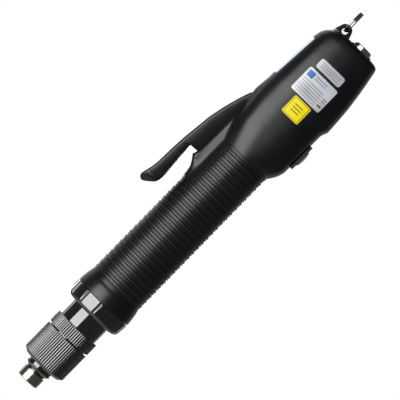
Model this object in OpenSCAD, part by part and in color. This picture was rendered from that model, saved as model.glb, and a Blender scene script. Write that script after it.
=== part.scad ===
// Electric torque screwdriver, hung with its bit down.
// Origin: centre of the bit mouth.  +Z: up the spindle.  -Y: the labelled face.  -X: the start lever.

/* [Bit drive] */
// Across flats of the hexagon bit shank
bit_across_flats = 6.35; // [6.35:0.05:6.4]
// Depth of the bit socket
bit_depth = 22; // [18:0.5:26]
// Radius of the bright spindle nose
nose_r = 6.9; // [6.6:0.1:7.2]
// Length of the bright spindle nose
nose_len = 6.7; // [6.4:0.1:6.8]
// Wall of the spindle over the socket's flats
shank_wall = 2.225; // [2.1:0.025:2.4]
// Radius of the two balls that hold the bit
bit_ball_r = 1.45; // [1.3:0.05:1.5]
// Wall of the bit collar round its spring
collar_wall = 0.6; // [0.5:0.05:0.9]
// Height of the lip that the fingers push on the bit collar
collar_lip = 0.6; // [0.4:0.1:1]
// Travel of the bit collar when it is pushed up
collar_travel = 2.3; // [1.5:0.1:2.4]
// Wire of the bit collar's spring
collar_wire = 0.8; // [0.6:0.05:0.9]

/* [Torque setting] */
// Wall of the torque nut and the lock ring, ridges included
nut_wall = 1.55; // [1.4:0.05:2]
// Length of the torque nut
nut_len = 20.8; // [18:0.2:22]
// Height of the torque nut's lower edge
nut_z = 12; // [11.6:0.1:12.4]
// Length of the lock ring
lock_len = 8.1; // [6:0.1:9]
// Seam between the torque nut and the lock ring
lock_seam = 0.5; // [0.3:0.1:0.8]
// Number of grip ridges round the nut and the ring
nut_ridges = 60; // [36:1:72]
// Depth of those ridges
nut_ridge_depth = 0.65; // [0.4:0.05:0.8]
// Wall of the spring seat's sleeve
seat_wall = 0.75; // [0.7:0.05:1]
// Wall of the clutch tube
tube_wall = 1.85; // [1.6:0.05:2.2]
// Wire of the clutch spring
spring_wire = 1.9; // [1.4:0.1:2]
// Coils of the clutch spring
spring_coils = 7; // [5:1:8]
// Radius of the clutch balls
clutch_ball_r = 2; // [1.7:0.05:2]
// Number of clutch balls
clutch_balls_n = 6; // [3:1:6]

/* [Gears] */
// Tooth module of both stages
gear_module = 0.6; // [0.6:0.005:0.61]
// Pressure angle of the teeth
pressure_angle = 25; // [22:0.5:27]
// Teeth on each sun gear
sun_teeth = 12; // [12:1:12]
// Teeth on each planet gear
planet_teeth = 12; // [12:1:12]
// Play between two meshing flanks, along the pitch circle
tooth_play = 0.1; // [0.06:0.01:0.16]
// Face width of the second-stage gears
stage_2_len = 8.5; // [7:0.5:9]
// Face width of the first-stage gears
stage_1_len = 7.2; // [6:0.2:8]
// Radius of the planet pins
planet_pin_r = 1.2; // [1:0.05:1.3]
// Wall of the ring gear behind its teeth
ring_wall = 2.3; // [1.8:0.1:2.6]
// Wall of the gear case
case_wall = 0.95; // [0.8:0.05:1.4]
// Thickness of each planet carrier
carrier_t = 2; // [1.6:0.1:2.4]

/* [Motor] */
// Length of the motor can
motor_len = 56; // [50:1:58]
// Wall of the motor can
can_wall = 1.1; // [0.8:0.1:1.4]
// Radius of the motor shaft
shaft_r = 1.5; // [1.3:0.05:1.6]
// Radius of the rotor magnet
rotor_r = 6; // [5:0.1:6.3]

/* [Nose and grip] */
// Height of the nose collar's lower edge
nose_collar_z = 51.5; // [50:0.1:52]
// Length of the nose collar
nose_collar_len = 9.5; // [9.2:0.1:10]
// Wall of the nose collar outside the housing's spigot
nose_wall = 2.5; // [2.2:0.1:3.2]
// Wall of the housing's spigot inside the nose collar
spigot_wall = 1.4; // [1.3:0.1:1.8]
// Number of finger recesses round the nose collar
nose_recesses = 6; // [4:1:8]
// Depth of those recesses
nose_recess_depth = 0.55; // [0.3:0.05:0.7]
// Wall of the grip, ribs included
grip_wall = 2.5; // [2.4:0.05:3]
// Height of the lowest grip rib
rib_z = 71.4; // [71:0.2:75]
// Distance from one pair of ribs to the next
rib_pitch = 3.82; // [3.5:0.02:3.84]
// Number of pairs of ribs
rib_pairs = 27; // [20:1:27]
// Depth of the grooves between the ribs
rib_depth = 0.55; // [0.3:0.05:0.7]

/* [Head] */
// Thickness of the head's wall
head_wall = 2.4; // [2:0.1:2.8]
// Height of the seam under the end cap
cap_seam_z = 259.8; // [259:0.1:261]
// Thickness of the end cap's plate
cap_t = 1.7; // [1.4:0.1:2.2]
// Wall on each side of the lever's slot
boss_wall = 2; // [1.8:0.1:2.6]
// Distance of the boss's outer face from the spindle axis
boss_x = 21; // [20.8:0.1:21.4]
// Gap at the clamshell's parting line
parting_gap = 0.06; // [0.02:0.01:0.1]

/* [Lever] */
// Width of the start lever
lever_w = 13; // [11:0.2:13.6]
// Distance of the lever's pin from the spindle axis
lever_pin_x = 19; // [18.8:0.1:19.2]
// Height of the lever's pin
lever_pin_z = 201; // [200:0.2:202]
// Radius of the lever's pin
lever_pin_r = 1.5; // [1.2:0.1:1.7]
// Height of the lever's lower end
lever_tip_z = 125.4; // [124:0.2:127]
// Wall of the hollow paddle
lever_wall = 2; // [1.6:0.1:2.6]

/* [Switches and board] */
// Radius of the start switch's plunger
plunger_r = 2; // [1.6:0.1:2.2]
// Height of that plunger
plunger_z = 170; // [168:0.5:174]
// Height of the middle of the rocker switch
rocker_z = 196.5; // [195:0.5:198]
// Width of the rocker
rocker_w = 8.4; // [7.4:0.2:9]
// Thickness of the circuit board
board_t = 1.6; // [1.2:0.2:2]
// Width of the circuit board
board_w = 18; // [14:0.5:19]
// Length of the circuit board
board_len = 56; // [50:1:58]

/* [Cap fittings] */
// Distance of the connector from the spindle axis
connector_x = 5.3; // [5.3:0.1:5.8]
// Thread radius of the connector
connector_r = 6.2; // [5.9:0.1:6.4]
// Radius of the connector's ring nut
connector_nut_r = 7.3; // [7:0.1:7.6]
// Height of the connector above the end cap
connector_h = 3.6; // [3.2:0.1:4.2]
// Distance of the hang lug from the spindle axis
lug_x = 9; // [8.8:0.1:9.4]
// Thickness of the hang lug
lug_t = 3; // [2.4:0.1:3.2]
// Radius of the hole in the hang lug
lug_hole_r = 1.8; // [1.75:0.05:2]
// Height of that hole above the end cap
lug_hole_h = 2.8; // [2.6:0.1:3.2]
// Outer radius of the split ring
ring_r = 7.5; // [7:0.1:8.5]
// Wire of the split ring
ring_wire = 1.4; // [1.2:0.1:1.5]

/* [Clearances] */
// Radial clearance of a running fit
run_fit = 0.06; // [0.03:0.01:0.08]
// Clearance of a piece in its seat
seat_fit = 0.1; // [0.05:0.01:0.15]
// Clearance between pieces that only pass each other
pass_fit = 0.3; // [0.2:0.05:0.4]

/* [Hidden] */
$fn = 96;
over = 1;          // how far a cut runs past a face

// Colours
black_gloss = "#15161a";
black_matt = "#26272b";
steel = "#b9bcc2";
brass = "#b89b57";

// Bit end, from the mouth up
shank_r = bit_across_flats / 2 + shank_wall;
spindle_r = shank_r - 0.4;
journal_r = spindle_r - 1;
drive_r = journal_r - 0.4;
drive_flat = 1.55 * drive_r;
collar_z = nose_len + 0.2;
collar_pocket_r = shank_r + collar_wire + 0.4;
collar_step_r = collar_pocket_r + collar_wall;
collar_neck_r = collar_step_r + 0.8;
collar_r = collar_neck_r + collar_lip;
collar_lip_z = collar_z + 2.3;
bit_ball_z = collar_z + 2.5;
bit_ball_x = shank_r - 0.225 - bit_ball_r;
collar_land_z = bit_ball_z - 1.1;
collar_pocket_z = bit_ball_z + 1.5;
collar_step_z = collar_pocket_z + 1.1;
collar_top_z = collar_step_z + 1.5;
clip_z = collar_top_z + collar_travel + 1.7;
clip_t = 0.8;
clip_r = collar_pocket_r - 0.1;

// Torque nut, spring seat and clutch tube
tube_bore_r = collar_step_r + 0.4 + seat_wall + pass_fit + spring_wire + 0.35;
tube_r = tube_bore_r + tube_wall;
nut_floor = 2.5;
nut_top_z = nut_z + nut_len;
nut_bore_r = tube_r + seat_fit;
nut_r = nut_bore_r + nut_wall;
lock_z = nut_top_z + lock_seam;
nut_travel = [-2, 4];
nut_pitch = 1.5;
seat_z = nut_z + nut_floor + seat_fit;
seat_flange_t = 2.4;
seat_r = tube_bore_r - run_fit;
seat_mouth_r = collar_neck_r + 0.4;
seat_pocket_r = collar_step_r + 0.4;
seat_pocket_z = clip_z + clip_t - nut_travel[0] + 1.2;
seat_top_z = seat_pocket_z + 8.5;
tube_z = nut_z + nut_floor + nut_travel[1] + 1.1;
spring_z = seat_z + seat_flange_t;
seat_sleeve_r = seat_pocket_r + seat_wall;
spring_mean_r = seat_sleeve_r + pass_fit + spring_wire / 2;

// Pitch circles, which set the radii of the case, the grip and the nose collar
ring_teeth = sun_teeth + 2 * planet_teeth;
centre_r = gear_module * (sun_teeth + planet_teeth) / 2;
ring_pitch_r = gear_module * ring_teeth / 2;
tooth_top = 0.8 * gear_module;
tooth_root = gear_module;
ring_outer_r = ring_pitch_r + tooth_root + ring_wall;
case_bore_r = ring_outer_r + seat_fit / 2;
case_r = case_bore_r + case_wall;
grip_bore_r = case_r + pass_fit;
grip_r = grip_bore_r + grip_wall;
tube_flange_r = grip_bore_r + 1.2;
spigot_r = grip_bore_r + spigot_wall;
nose_collar_r = spigot_r + nose_wall;

// Clutch and gearbox stack
tube_flange_z = nose_collar_z + 4;
tube_flange_t = 2.5;
case_z = tube_flange_z + tube_flange_t + seat_fit;
ring_z = case_z + 3.9;
tube_top_z = ring_z - 0.3;
ring_flange_t = 2.5;
ball_ring_r = tube_bore_r - clutch_ball_r - 0.1;
ball_sink = 0.45;
ball_z = ring_z - clutch_ball_r + ball_sink;
plate_t = 3;
plate_top_z = ball_z - clutch_ball_r + ball_sink;
plate_z = plate_top_z - plate_t;
spring_top_z = plate_z;

// Gears
carrier_r = ring_pitch_r - tooth_top - 0.4;
carrier_2_z = ring_z + ring_flange_t + 0.4;
stage_2_z = carrier_2_z + carrier_t + 0.2;
carrier_1_z = stage_2_z + stage_2_len + 0.6;
stage_1_z = carrier_1_z + carrier_t + 0.3;
ring_top_z = stage_1_z + stage_1_len + 1.3;
bush_r = ball_ring_r - clutch_ball_r - 0.3;

// Motor
flange_z = ring_top_z + seat_fit;
flange_t = 3;
can_z = flange_z + flange_t;
can_r = grip_bore_r - pass_fit;
can_top_z = can_z + motor_len;
bearing_r = 4;
bearing_t = 3;
stator_z = can_z + 10;
stator_len = 30;
stator_r = can_r - can_wall - seat_fit;

// Nose collar and housing
nose_top_z = nose_collar_z + nose_collar_len;
shell_z = nose_top_z + 0.3;
rib_top_z = rib_z + rib_pairs * rib_pitch;
saddle_z = 143;
saddle_half = 51;
core_r = grip_bore_r + 1.8;      // shell under the ribs
cap_top_z = cap_seam_z + cap_t;

// Head: reach to each side, depth and squareness by height
head_right = [[rib_top_z - 2, core_r], [rib_top_z, grip_r + 0.1], [178, 20], [181, 21.4], [184, 22.2],
    [213, 22.4], [217, 24], [224, 23.6], [233, 23.1], [242, 22], [251, 20.6], [260, 18.9],
    [261, 18.3], [262, 16.8]];
head_left = [[rib_top_z - 2, core_r], [rib_top_z, grip_r + 0.1], [183, 19], [190, 20.4], [205, 21.8],
    [219.5, 21.8], [250, 19.9], [253, 19.3], [255, 18.7], [256.5, 17.9], [258, 16.8], [259.2, 15.4],
    [cap_seam_z, 14.7], [262, 14]];
head_depth = [[rib_top_z - 2, core_r], [rib_top_z, grip_r + 0.1], [182, 18.3], [192, 19.4], [205, 20],
    [222, 20], [242, 19.2], [256, 18], [260, 17.2], [261.5, 14.8], [262, 14]];
head_square = [[rib_top_z, 2], [190, 2.7], [262, 2.7]];
slot_w = lever_w + 2 * pass_fit;
boss_w = slot_w + 2 * boss_wall;
boss_lip_z = 156.5;
slot_top_z = lever_pin_z + 4.6;
boss_reach = [[saddle_z - 2, 13], [144.5, core_r], [148.4, 17.6], [150.4, 18.5], [152.4, 19.8],
    [154.4, 21.3], [boss_lip_z - 0.5, boss_x + 1.3], [boss_lip_z + 1, boss_x + 1.1], [160, boss_x + 0.2],
    [165, boss_x], [slot_top_z + 2.4, boss_x], [slot_top_z + 8.4, boss_x - 2],
    [slot_top_z + 14.4, boss_x - 7], [slot_top_z + 20, boss_x - 13]];
shell_levels = [141, 144.5, 146.5, 148.4, 150.4, 152.4, 154.4, 156, 157.5, 160, 165, rib_top_z - 2, rib_top_z,
    178, 181, 184, 190, 197, 205, 213, 215, 217, 224, 233, 242, 250, 253, 255, 256.5, 258, 259.2, cap_seam_z];
boss_angles = [0, 9, 16, 20, 22, 24, 26, 28.5, 31.5, 35, 40, 47];
side_angles = concat(boss_angles, [for (a = [56:9.5:180]) a]);
shell_angles = concat([for (a = side_angles) 180 - a],
    [for (i = [len(side_angles) - 1:-1:1]) 180 + side_angles[i]]);
slot_floor_x = 15;
slot_wall = 2;
slot_z = [boss_lip_z, slot_top_z];
hollow_levels = [rib_top_z + 2, 187, 214, 238, cap_seam_z - 2.6];
side_label_z = [219.8, 249.6];
side_label_w = 18;
screw_places = [[-13, 213], [14.5, 213], [-12.5, 246], [15, 240]];
screw_head_r = 2.8;
screw_r = 1.5;
boss_r = 3.2;
screw_seat_y = 12;

// Lever: distance of its outer and inner face from the spindle axis, by height
lever_step_z = boss_lip_z + 1.7;
lever_outer = [[lever_tip_z, 33.6], [lever_tip_z + 1.2, 34.9], [lever_tip_z + 2.4, 35.2], [lever_tip_z + 4.6, 34.8],
    [lever_tip_z + 6.8, 34.2], [lever_tip_z + 9.1, 33.6], [lever_tip_z + 13.6, 33], [150, 32.6],
    [lever_step_z + 0.8, 32], [168, 31], [177, 30], [186, lever_pin_x + 9.1], [195, lever_pin_x + 6.6],
    [lever_pin_z - 1.5, lever_pin_x + 5.1], [lever_pin_z + 1.5, lever_pin_x + 4], [lever_pin_z + 3.6, lever_pin_x + 2.6]];
lever_inner = [[lever_tip_z, 31.8], [lever_tip_z + 1.2, 30], [lever_tip_z + 2.4, 28.4], [lever_tip_z + 4.6, 26],
    [lever_tip_z + 6.8, 25.2], [lever_tip_z + 9.1, 24.9], [lever_tip_z + 13.6, 25.3], [150, 26.2],
    [lever_step_z, 26.4], [lever_step_z + 0.4, lever_pin_x], [lever_pin_z - 3, lever_pin_x],
    [lever_pin_z - 1.5, lever_pin_x - 3.1], [lever_pin_z + 1.5, lever_pin_x - 3.1], [lever_pin_z + 3.6, lever_pin_x - 1.6]];
lever_levels = concat([for (rise = [0, 1.2, 2.4, 4.6, 6.8, 9.1, 13.6]) lever_tip_z + rise],
    [145, 150, lever_step_z, lever_step_z + 0.4, 163, 168, 177, 186, 191, 195],
    [for (rise = [-3, -1.5, 1.5, 3.6]) lever_pin_z + rise]);
lever_hollow_x = lookup(150, lever_outer) - 1.5 - lever_wall;
paddle_hollow = [lever_tip_z + 10.6, lever_step_z - 3.2];
lever_spring_z = lever_pin_z - 15;

// Rocker switch
bezel_x = 22.3;
bezel_t = 1.5;
rocker_pivot_x = 18.5;
rocker_open_h = 12.3;
rocker_len = 9.8;

// Connector, lug and ring
ring_z0 = cap_top_z + lug_hole_h + 0.2;
ring_mean_r = ring_r - ring_wire / 2;
connector_nut_t = 1.6;
connector_lead_r = connector_r - 0.2;
connector_body_r = connector_r - 0.5;
connector_run_out = 0.1;
connector_pin_r = 0.45;
board_y = 8;
board_z = 182;

// ---------------------------------------------------------------- shared shapes
function smooth_max(a, b, p) = pow(pow(a, p) + pow(b, p), 1 / p);
function super_r(c, s, a, b, n) = pow(pow(abs(c) / a, n) + pow(abs(s) / b, n), -1 / n);
function head_r(phi, z) = super_r(cos(phi), sin(phi), lookup(z, cos(phi) < 0 ? head_left : head_right),
    lookup(z, head_depth), lookup(z, head_square));
function boss_at(phi, z) = cos(phi) > -0.1 ? 0 :
    super_r(cos(phi), sin(phi), lookup(z, boss_reach), boss_w / 2, 12);
function shell_r(phi, z) = smooth_max(head_r(phi, z), boss_at(phi, z), 24);

// A solid through rings of equal point count, closed by its end rings
module loft(rings) {
    n = len(rings[0]);
    last = len(rings) - 1;
    sides = [for (k = [0:last - 1], i = [0:n - 1]) let(j = (i + 1) % n)
        each [[k * n + i, (k + 1) * n + i, (k + 1) * n + j], [k * n + i, (k + 1) * n + j, k * n + j]]];
    ends = [[for (i = [0:n - 1]) i], [for (i = [n - 1:-1:0]) last * n + i]];
    polyhedron(points = [for (r = rings) each r], faces = concat(sides, ends), convexity = 6);
}

module shell_loft(levels) {
    loft([for (z = levels) [for (i = [len(shell_angles) - 1:-1:0])
        let(a = shell_angles[i], r = shell_r(a, z)) [r * cos(a), r * sin(a), z]]]);
}

module tube(r_out, r_in, z0, z1) {
    translate([0, 0, z0]) difference() {
        cylinder(r = r_out, h = z1 - z0);
        translate([0, 0, -over]) cylinder(r = r_in, h = z1 - z0 + 2 * over);
    }
}

module along_y(r, h, x, y, z) {
    translate([x, y, z]) rotate([-90, 0, 0]) cylinder(r = r, h = h);
}

module along_x(r, h, x, y, z) {
    translate([x, y, z]) rotate([0, 90, 0]) cylinder(r = r, h = h);
}

// A round wire wound upwards from z = 0, its ends sunk flat like ground coils
module coil(mean_r, wire, length, turns, steps, sides) {
    rise = length - wire;
    loft([for (i = [0:turns * steps]) let(t = i / (turns * steps), a = 360 * turns * t, z = wire / 2 + rise * t)
        [for (k = [0:sides - 1]) let(b = -360 * k / sides, r = mean_r + wire / 2 * cos(b))
            [r * cos(a), r * sin(a), z + wire / 2 * sin(b)]]]);
}

// ---------------------------------------------------------------- involute teeth
function inv(r, base) = let(a = acos(min(1, base / r))) tan(a) * 180 / PI - a;
// Half the angle of a tooth at radius r, its flank thinned by play
function tooth_half(r, teeth, play) = let(pitch = gear_module * teeth / 2, base = pitch * cos(pressure_angle))
    90 / teeth - play / 2 / pitch * 180 / PI + inv(pitch, base) - inv(max(r, base), base);
function gear_outline(teeth, top, root, play) = let(
    pitch = gear_module * teeth / 2, base = pitch * cos(pressure_angle),
    start = max(base, pitch - root), radii = [for (k = [0:5]) start + (pitch + top - start) * k / 5],
    flank = concat(pitch - root < base ? [pitch - root] : [], radii))
    [for (t = [0:teeth - 1]) each concat(
        [for (r = flank) let(a = 360 * t / teeth - tooth_half(r, teeth, play)) [r * cos(a), r * sin(a)]],
        [for (i = [len(flank) - 1:-1:0]) let(r = flank[i], a = 360 * t / teeth + tooth_half(r, teeth, play))
            [r * cos(a), r * sin(a)]])];

module gear(teeth, z, len) {
    translate([0, 0, z]) linear_extrude(len) polygon(gear_outline(teeth, tooth_top, tooth_root, tooth_play / 2));
}

module planet(z, len, place) {
    rotate(120 * place) translate([centre_r, 0, 0]) difference() {
        rotate(180 / planet_teeth) gear(planet_teeth, z, len);
        translate([0, 0, z - over]) cylinder(r = planet_pin_r + run_fit, h = len + 2 * over);
    }
}

module carrier_pins(z, len) {
    for (place = [0:2]) rotate(120 * place) translate([centre_r, 0, z]) cylinder(r = planet_pin_r, h = len);
}

// ---------------------------------------------------------------- bit end
module spindle() {
    color(steel) difference() {
        union() {
            rotate_extrude() polygon([[0, 0], [nose_r - 0.5, 0], [nose_r, 0.5], [nose_r, nose_len - 0.4],
                [nose_r - 0.4, nose_len], [shank_r, nose_len], [shank_r, clip_z - 0.1], [spindle_r, clip_z - 0.1],
                [spindle_r, ring_z - 3.4], [journal_r, ring_z - 3.4], [journal_r, carrier_2_z], [0, carrier_2_z]]);
            spindle_drive(0);
        }
        translate([0, 0, -over]) cylinder(r = (bit_across_flats + 0.1) / 2 / cos(30), h = bit_depth + over, $fn = 6);
        translate([0, 0, -0.01]) cylinder(r1 = 4.4, r2 = 3.2, h = 1.2);
        along_y(bit_ball_r + run_fit, 2 * nose_r, 0, -nose_r, bit_ball_z);
        tube(spindle_r + over, spindle_r - 0.5, clip_z - seat_fit / 2, clip_z + clip_t + seat_fit / 2);
    }
}

// The flats that turn the output carrier
module spindle_drive(play) {
    translate([0, 0, carrier_2_z - play]) intersection() {
        cylinder(r = drive_r + play, h = carrier_t + 2 * play);
        translate([-drive_r - over, -drive_flat / 2 - play, 0]) cube([2 * drive_r + 2 * over, drive_flat + 2 * play, carrier_t + 2 * play]);
    }
}

module bit_balls() {
    color(steel) for (side = [-1, 1]) translate([0, side * bit_ball_x, bit_ball_z]) sphere(r = bit_ball_r, $fn = 32);
}

module bit_collar() {
    color(black_gloss) rotate_extrude() polygon([
        [shank_r + 0.7, collar_z], [collar_r - 0.5, collar_lip_z - 0.4], [collar_r, collar_lip_z],
        [collar_r, collar_lip_z + 0.2], [collar_neck_r, collar_lip_z + 0.5], [collar_neck_r, collar_step_z],
        [collar_step_r, collar_step_z], [collar_step_r, collar_top_z], [collar_pocket_r, collar_top_z], [collar_pocket_r, collar_pocket_z],
        [shank_r + run_fit, collar_pocket_z], [shank_r + run_fit, collar_land_z], [shank_r + 0.6, collar_land_z - 0.5],
        [shank_r + 0.6, collar_z]]);
}

module collar_spring() {
    color(steel) translate([0, 0, collar_pocket_z])
        coil((shank_r + collar_pocket_r) / 2, collar_wire, clip_z - collar_pocket_z, 4, 14, 6);
}

module collar_clip() {
    color(steel) difference() {
        tube(clip_r, spindle_r - 0.45, clip_z, clip_z + clip_t);
        translate([0, -2, clip_z - over]) cube([clip_r + over, 4, clip_t + 2 * over]);
    }
}

// ---------------------------------------------------------------- torque setting
function ridge_outline() = [for (i = [0:nut_ridges - 1]) let(step = 360 / nut_ridges, a = step * i, low = nut_r - nut_ridge_depth)
    each [[low * cos(a - 0.36 * step), low * sin(a - 0.36 * step)], [nut_r * cos(a - 0.2 * step), nut_r * sin(a - 0.2 * step)],
        [nut_r * cos(a + 0.2 * step), nut_r * sin(a + 0.2 * step)], [low * cos(a + 0.36 * step), low * sin(a + 0.36 * step)]]];

module ridged_blank(z0, z1, low_bevel, top_bevel) {
    intersection() {
        translate([0, 0, z0]) linear_extrude(z1 - z0) polygon(ridge_outline());
        rotate_extrude() polygon([[0, z0], [nut_r - low_bevel, z0], [nut_r + 0.1, z0 + 0.85 * low_bevel],
            [nut_r + 0.1, z1 - top_bevel], [nut_r - top_bevel, z1], [0, z1]]);
    }
}

module torque_nut() {
    color(black_matt) difference() {
        ridged_blank(nut_z, nut_top_z, 2.2, 0.4);
        translate([0, 0, nut_z + nut_floor]) cylinder(r = nut_bore_r, h = nut_len);
        translate([0, 0, nut_z - over]) cylinder(r = collar_r + 0.4, h = nut_len);
    }
}

module lock_ring() {
    color(black_matt) difference() {
        ridged_blank(lock_z, lock_z + lock_len, 0.4, 0.5);
        translate([0, 0, lock_z - over]) cylinder(r = nut_bore_r, h = lock_len + 2 * over);
    }
}

module spring_seat() {
    color(brass) rotate_extrude() polygon([[seat_mouth_r, seat_z], [seat_r, seat_z], [seat_r, spring_z],
        [seat_sleeve_r, spring_z], [seat_sleeve_r, seat_top_z], [spindle_r + run_fit, seat_top_z],
        [spindle_r + run_fit, seat_pocket_z], [seat_pocket_r, seat_pocket_z], [seat_pocket_r, spring_z - 0.4],
        [seat_mouth_r, spring_z - 0.4]]);
}

module clutch_tube() {
    color(black_gloss) difference() {
        union() {
            translate([0, 0, tube_z]) cylinder(r1 = tube_r - 0.6, r2 = tube_r, h = 0.6);
            translate([0, 0, tube_z + 0.6]) cylinder(r = tube_r, h = tube_flange_z - tube_z);
            translate([0, 0, tube_flange_z]) cylinder(r = tube_flange_r, h = tube_flange_t);
            translate([0, 0, tube_flange_z + over]) cylinder(r = case_bore_r - seat_fit, h = tube_top_z - tube_flange_z - over);
        }
        translate([0, 0, tube_z - over]) cylinder(r = tube_bore_r, h = tube_top_z - tube_z + 2 * over);
    }
}

module clutch_spring() {
    color(steel) translate([0, 0, spring_z])
        coil(spring_mean_r, spring_wire, spring_top_z - spring_z, spring_coils, 18, 8);
}

module ball_pockets(z) {
    for (i = [0:clutch_balls_n - 1]) rotate(360 * i / clutch_balls_n)
        translate([ball_ring_r, 0, z]) sphere(r = clutch_ball_r + run_fit, $fn = 32);
}

module clutch_plate() {
    color(steel) difference() {
        tube(tube_bore_r - run_fit, spindle_r + pass_fit, plate_z, plate_top_z);
        ball_pockets(ball_z);
    }
}

module clutch_balls() {
    color(steel) for (i = [0:clutch_balls_n - 1]) rotate(360 * i / clutch_balls_n)
        translate([ball_ring_r, 0, ball_z]) sphere(r = clutch_ball_r, $fn = 32);
}

// ---------------------------------------------------------------- gearbox
module gear_case() {
    color("#8e9096") tube(case_r, case_bore_r, case_z, ring_top_z);
}

module ring_gear() {
    color(steel) difference() {
        translate([0, 0, ring_z]) cylinder(r = ring_outer_r, h = ring_top_z - ring_z);
        translate([0, 0, ring_z - over]) cylinder(r = bush_r, h = ring_flange_t + 2 * over);
        translate([0, 0, ring_z + ring_flange_t]) rotate(180 / ring_teeth) linear_extrude(ring_top_z)
            polygon(gear_outline(ring_teeth, tooth_root, tooth_top, -tooth_play / 2));
        ball_pockets(ball_z);
    }
}

module spindle_bush() {
    color(brass) tube(bush_r, journal_r + run_fit, ring_z - 1, ring_z + ring_flange_t);
}

module carrier_2() {
    color(steel) {
        difference() {
            translate([0, 0, carrier_2_z]) cylinder(r = carrier_r, h = carrier_t);
            spindle_drive(0.01);
        }
        carrier_pins(carrier_2_z + carrier_t, stage_2_len + 0.5);
    }
}

module carrier_1() {
    color(steel) {
        gear(sun_teeth, stage_2_z, carrier_1_z - stage_2_z);
        translate([0, 0, carrier_1_z]) cylinder(r = carrier_r, h = carrier_t);
        carrier_pins(carrier_1_z + carrier_t, stage_1_len + 0.6);
    }
}

module planet_2a() { color(steel) planet(stage_2_z, stage_2_len, 0); }
module planet_2b() { color(steel) planet(stage_2_z, stage_2_len, 1); }
module planet_2c() { color(steel) planet(stage_2_z, stage_2_len, 2); }
module planet_1a() { color(steel) planet(stage_1_z, stage_1_len, 0); }
module planet_1b() { color(steel) planet(stage_1_z, stage_1_len, 1); }
module planet_1c() { color(steel) planet(stage_1_z, stage_1_len, 2); }

module sun_gear_1() {
    color(brass) difference() {
        gear(sun_teeth, stage_1_z, stage_1_len + 1);
        translate([0, 0, stage_1_z - over]) cylinder(r = shaft_r, h = stage_1_len + 3 * over);
    }
}

// ---------------------------------------------------------------- motor
module motor_flange() {
    color("#8e9096") difference() {
        union() {
            translate([0, 0, flange_z]) cylinder(r = can_r, h = flange_t);
            translate([0, 0, can_z]) cylinder(r = can_r - can_wall - seat_fit, h = 2);
        }
        translate([0, 0, flange_z - over]) cylinder(r = shaft_r + pass_fit, h = flange_t + 4);
        translate([0, 0, can_z + 2 - bearing_t]) cylinder(r = bearing_r + 0.01, h = bearing_t + over);
    }
}

module motor_can() {
    color("#3a3b40") difference() {
        translate([0, 0, can_z]) cylinder(r = can_r, h = motor_len);
        translate([0, 0, can_z - over]) cylinder(r = can_r - can_wall, h = motor_len - can_wall + over);
        for (a = [0:90:270]) rotate(a + 45) translate([can_r - 4.4, 0, can_top_z - 3]) cylinder(r = 1.6, h = 4);
    }
    color("#3a3b40") tube(bearing_r + 1.6, bearing_r + 0.01, can_top_z - can_wall - bearing_t, can_top_z - can_wall);
}

module motor_bearings() {
    color(steel) {
        tube(bearing_r, shaft_r + run_fit, can_z + 2 - bearing_t, can_z + 2);
        tube(bearing_r, shaft_r + run_fit, can_top_z - can_wall - bearing_t, can_top_z - can_wall - 0.02);
    }
}

module motor_shaft() {
    color(steel) translate([0, 0, stage_1_z + 0.4]) cylinder(r = shaft_r, h = can_top_z - can_wall - 0.4 - stage_1_z);
}

module rotor_magnet() {
    color("#4a4b50") tube(rotor_r, shaft_r, stator_z - 1, stator_z + stator_len + 1);
}

module stator_core() {
    color("#74767c") {
        tube(stator_r, stator_r - 2, stator_z, stator_z + stator_len);
        for (i = [0:5]) rotate(60 * i) translate([0, 0, stator_z]) linear_extrude(stator_len) {
            translate([rotor_r + 1.2, -1]) square([stator_r - 2.6 - rotor_r, 2]);
            intersection() {
                difference() { circle(r = rotor_r + 1.6); circle(r = rotor_r + 0.5); }
                polygon([[0, 0], [12, -5.2], [12, 5.2]]);
            }
        }
    }
}

module stator_coils() {
    color("#a5602c") for (i = [0:5]) rotate(60 * i) difference() {
        translate([rotor_r + 1.8, -2.2, stator_z - 1.5]) cube([stator_r - rotor_r - 4.4, 4.4, stator_len + 3]);
        translate([rotor_r, -1.02, stator_z - 0.02]) cube([8, 2.04, stator_len + 0.04]);
    }
}

// ---------------------------------------------------------------- nose collar and housing
module nose_collar() {
    z0 = nose_collar_z;
    edge = 3.2;
    arc = [for (a = [0:15:75]) [nose_collar_r - 0.5 - edge + edge * sin(a), z0 + edge - edge * cos(a)]];
    color(black_gloss) difference() {
        rotate_extrude() polygon(concat([[tube_r + seat_fit, z0]], arc, [[nose_collar_r - 0.35, z0 + 4],
            [nose_collar_r, z0 + 6.5], [nose_collar_r, nose_top_z - 0.3], [nose_collar_r - 0.3, nose_top_z],
            [tube_flange_r + 0.35, nose_top_z], [tube_flange_r + 0.35, tube_flange_z - seat_fit],
            [tube_r + seat_fit, tube_flange_z - seat_fit]]));
        for (i = [0:nose_recesses - 1]) rotate(-90 - 16 - 18 + 360 / nose_recesses * i)
            rotate_extrude(angle = 36) polygon([[nose_collar_r - nose_recess_depth, z0 + 2.6],
                [nose_collar_r + 2, z0 + 1.4], [nose_collar_r + 2, nose_top_z + over],
                [nose_collar_r - nose_recess_depth, nose_top_z + over]]);
    }
}

// One period of the grip: a narrow ridge, then a wide one with a round back
function rib_profile(z) = let(low = grip_r - rib_depth, p = rib_pitch, mid = p * 0.66, half = p * 0.29)
    concat([[low, z], [low, z + 0.12 * p], [grip_r - 0.25, z + 0.15 * p], [grip_r - 0.25, z + 0.27 * p],
        [low, z + 0.3 * p]], [for (t = [-1:0.5:1]) [grip_r - 0.3 * t * t, z + mid + half * t]]);

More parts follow.
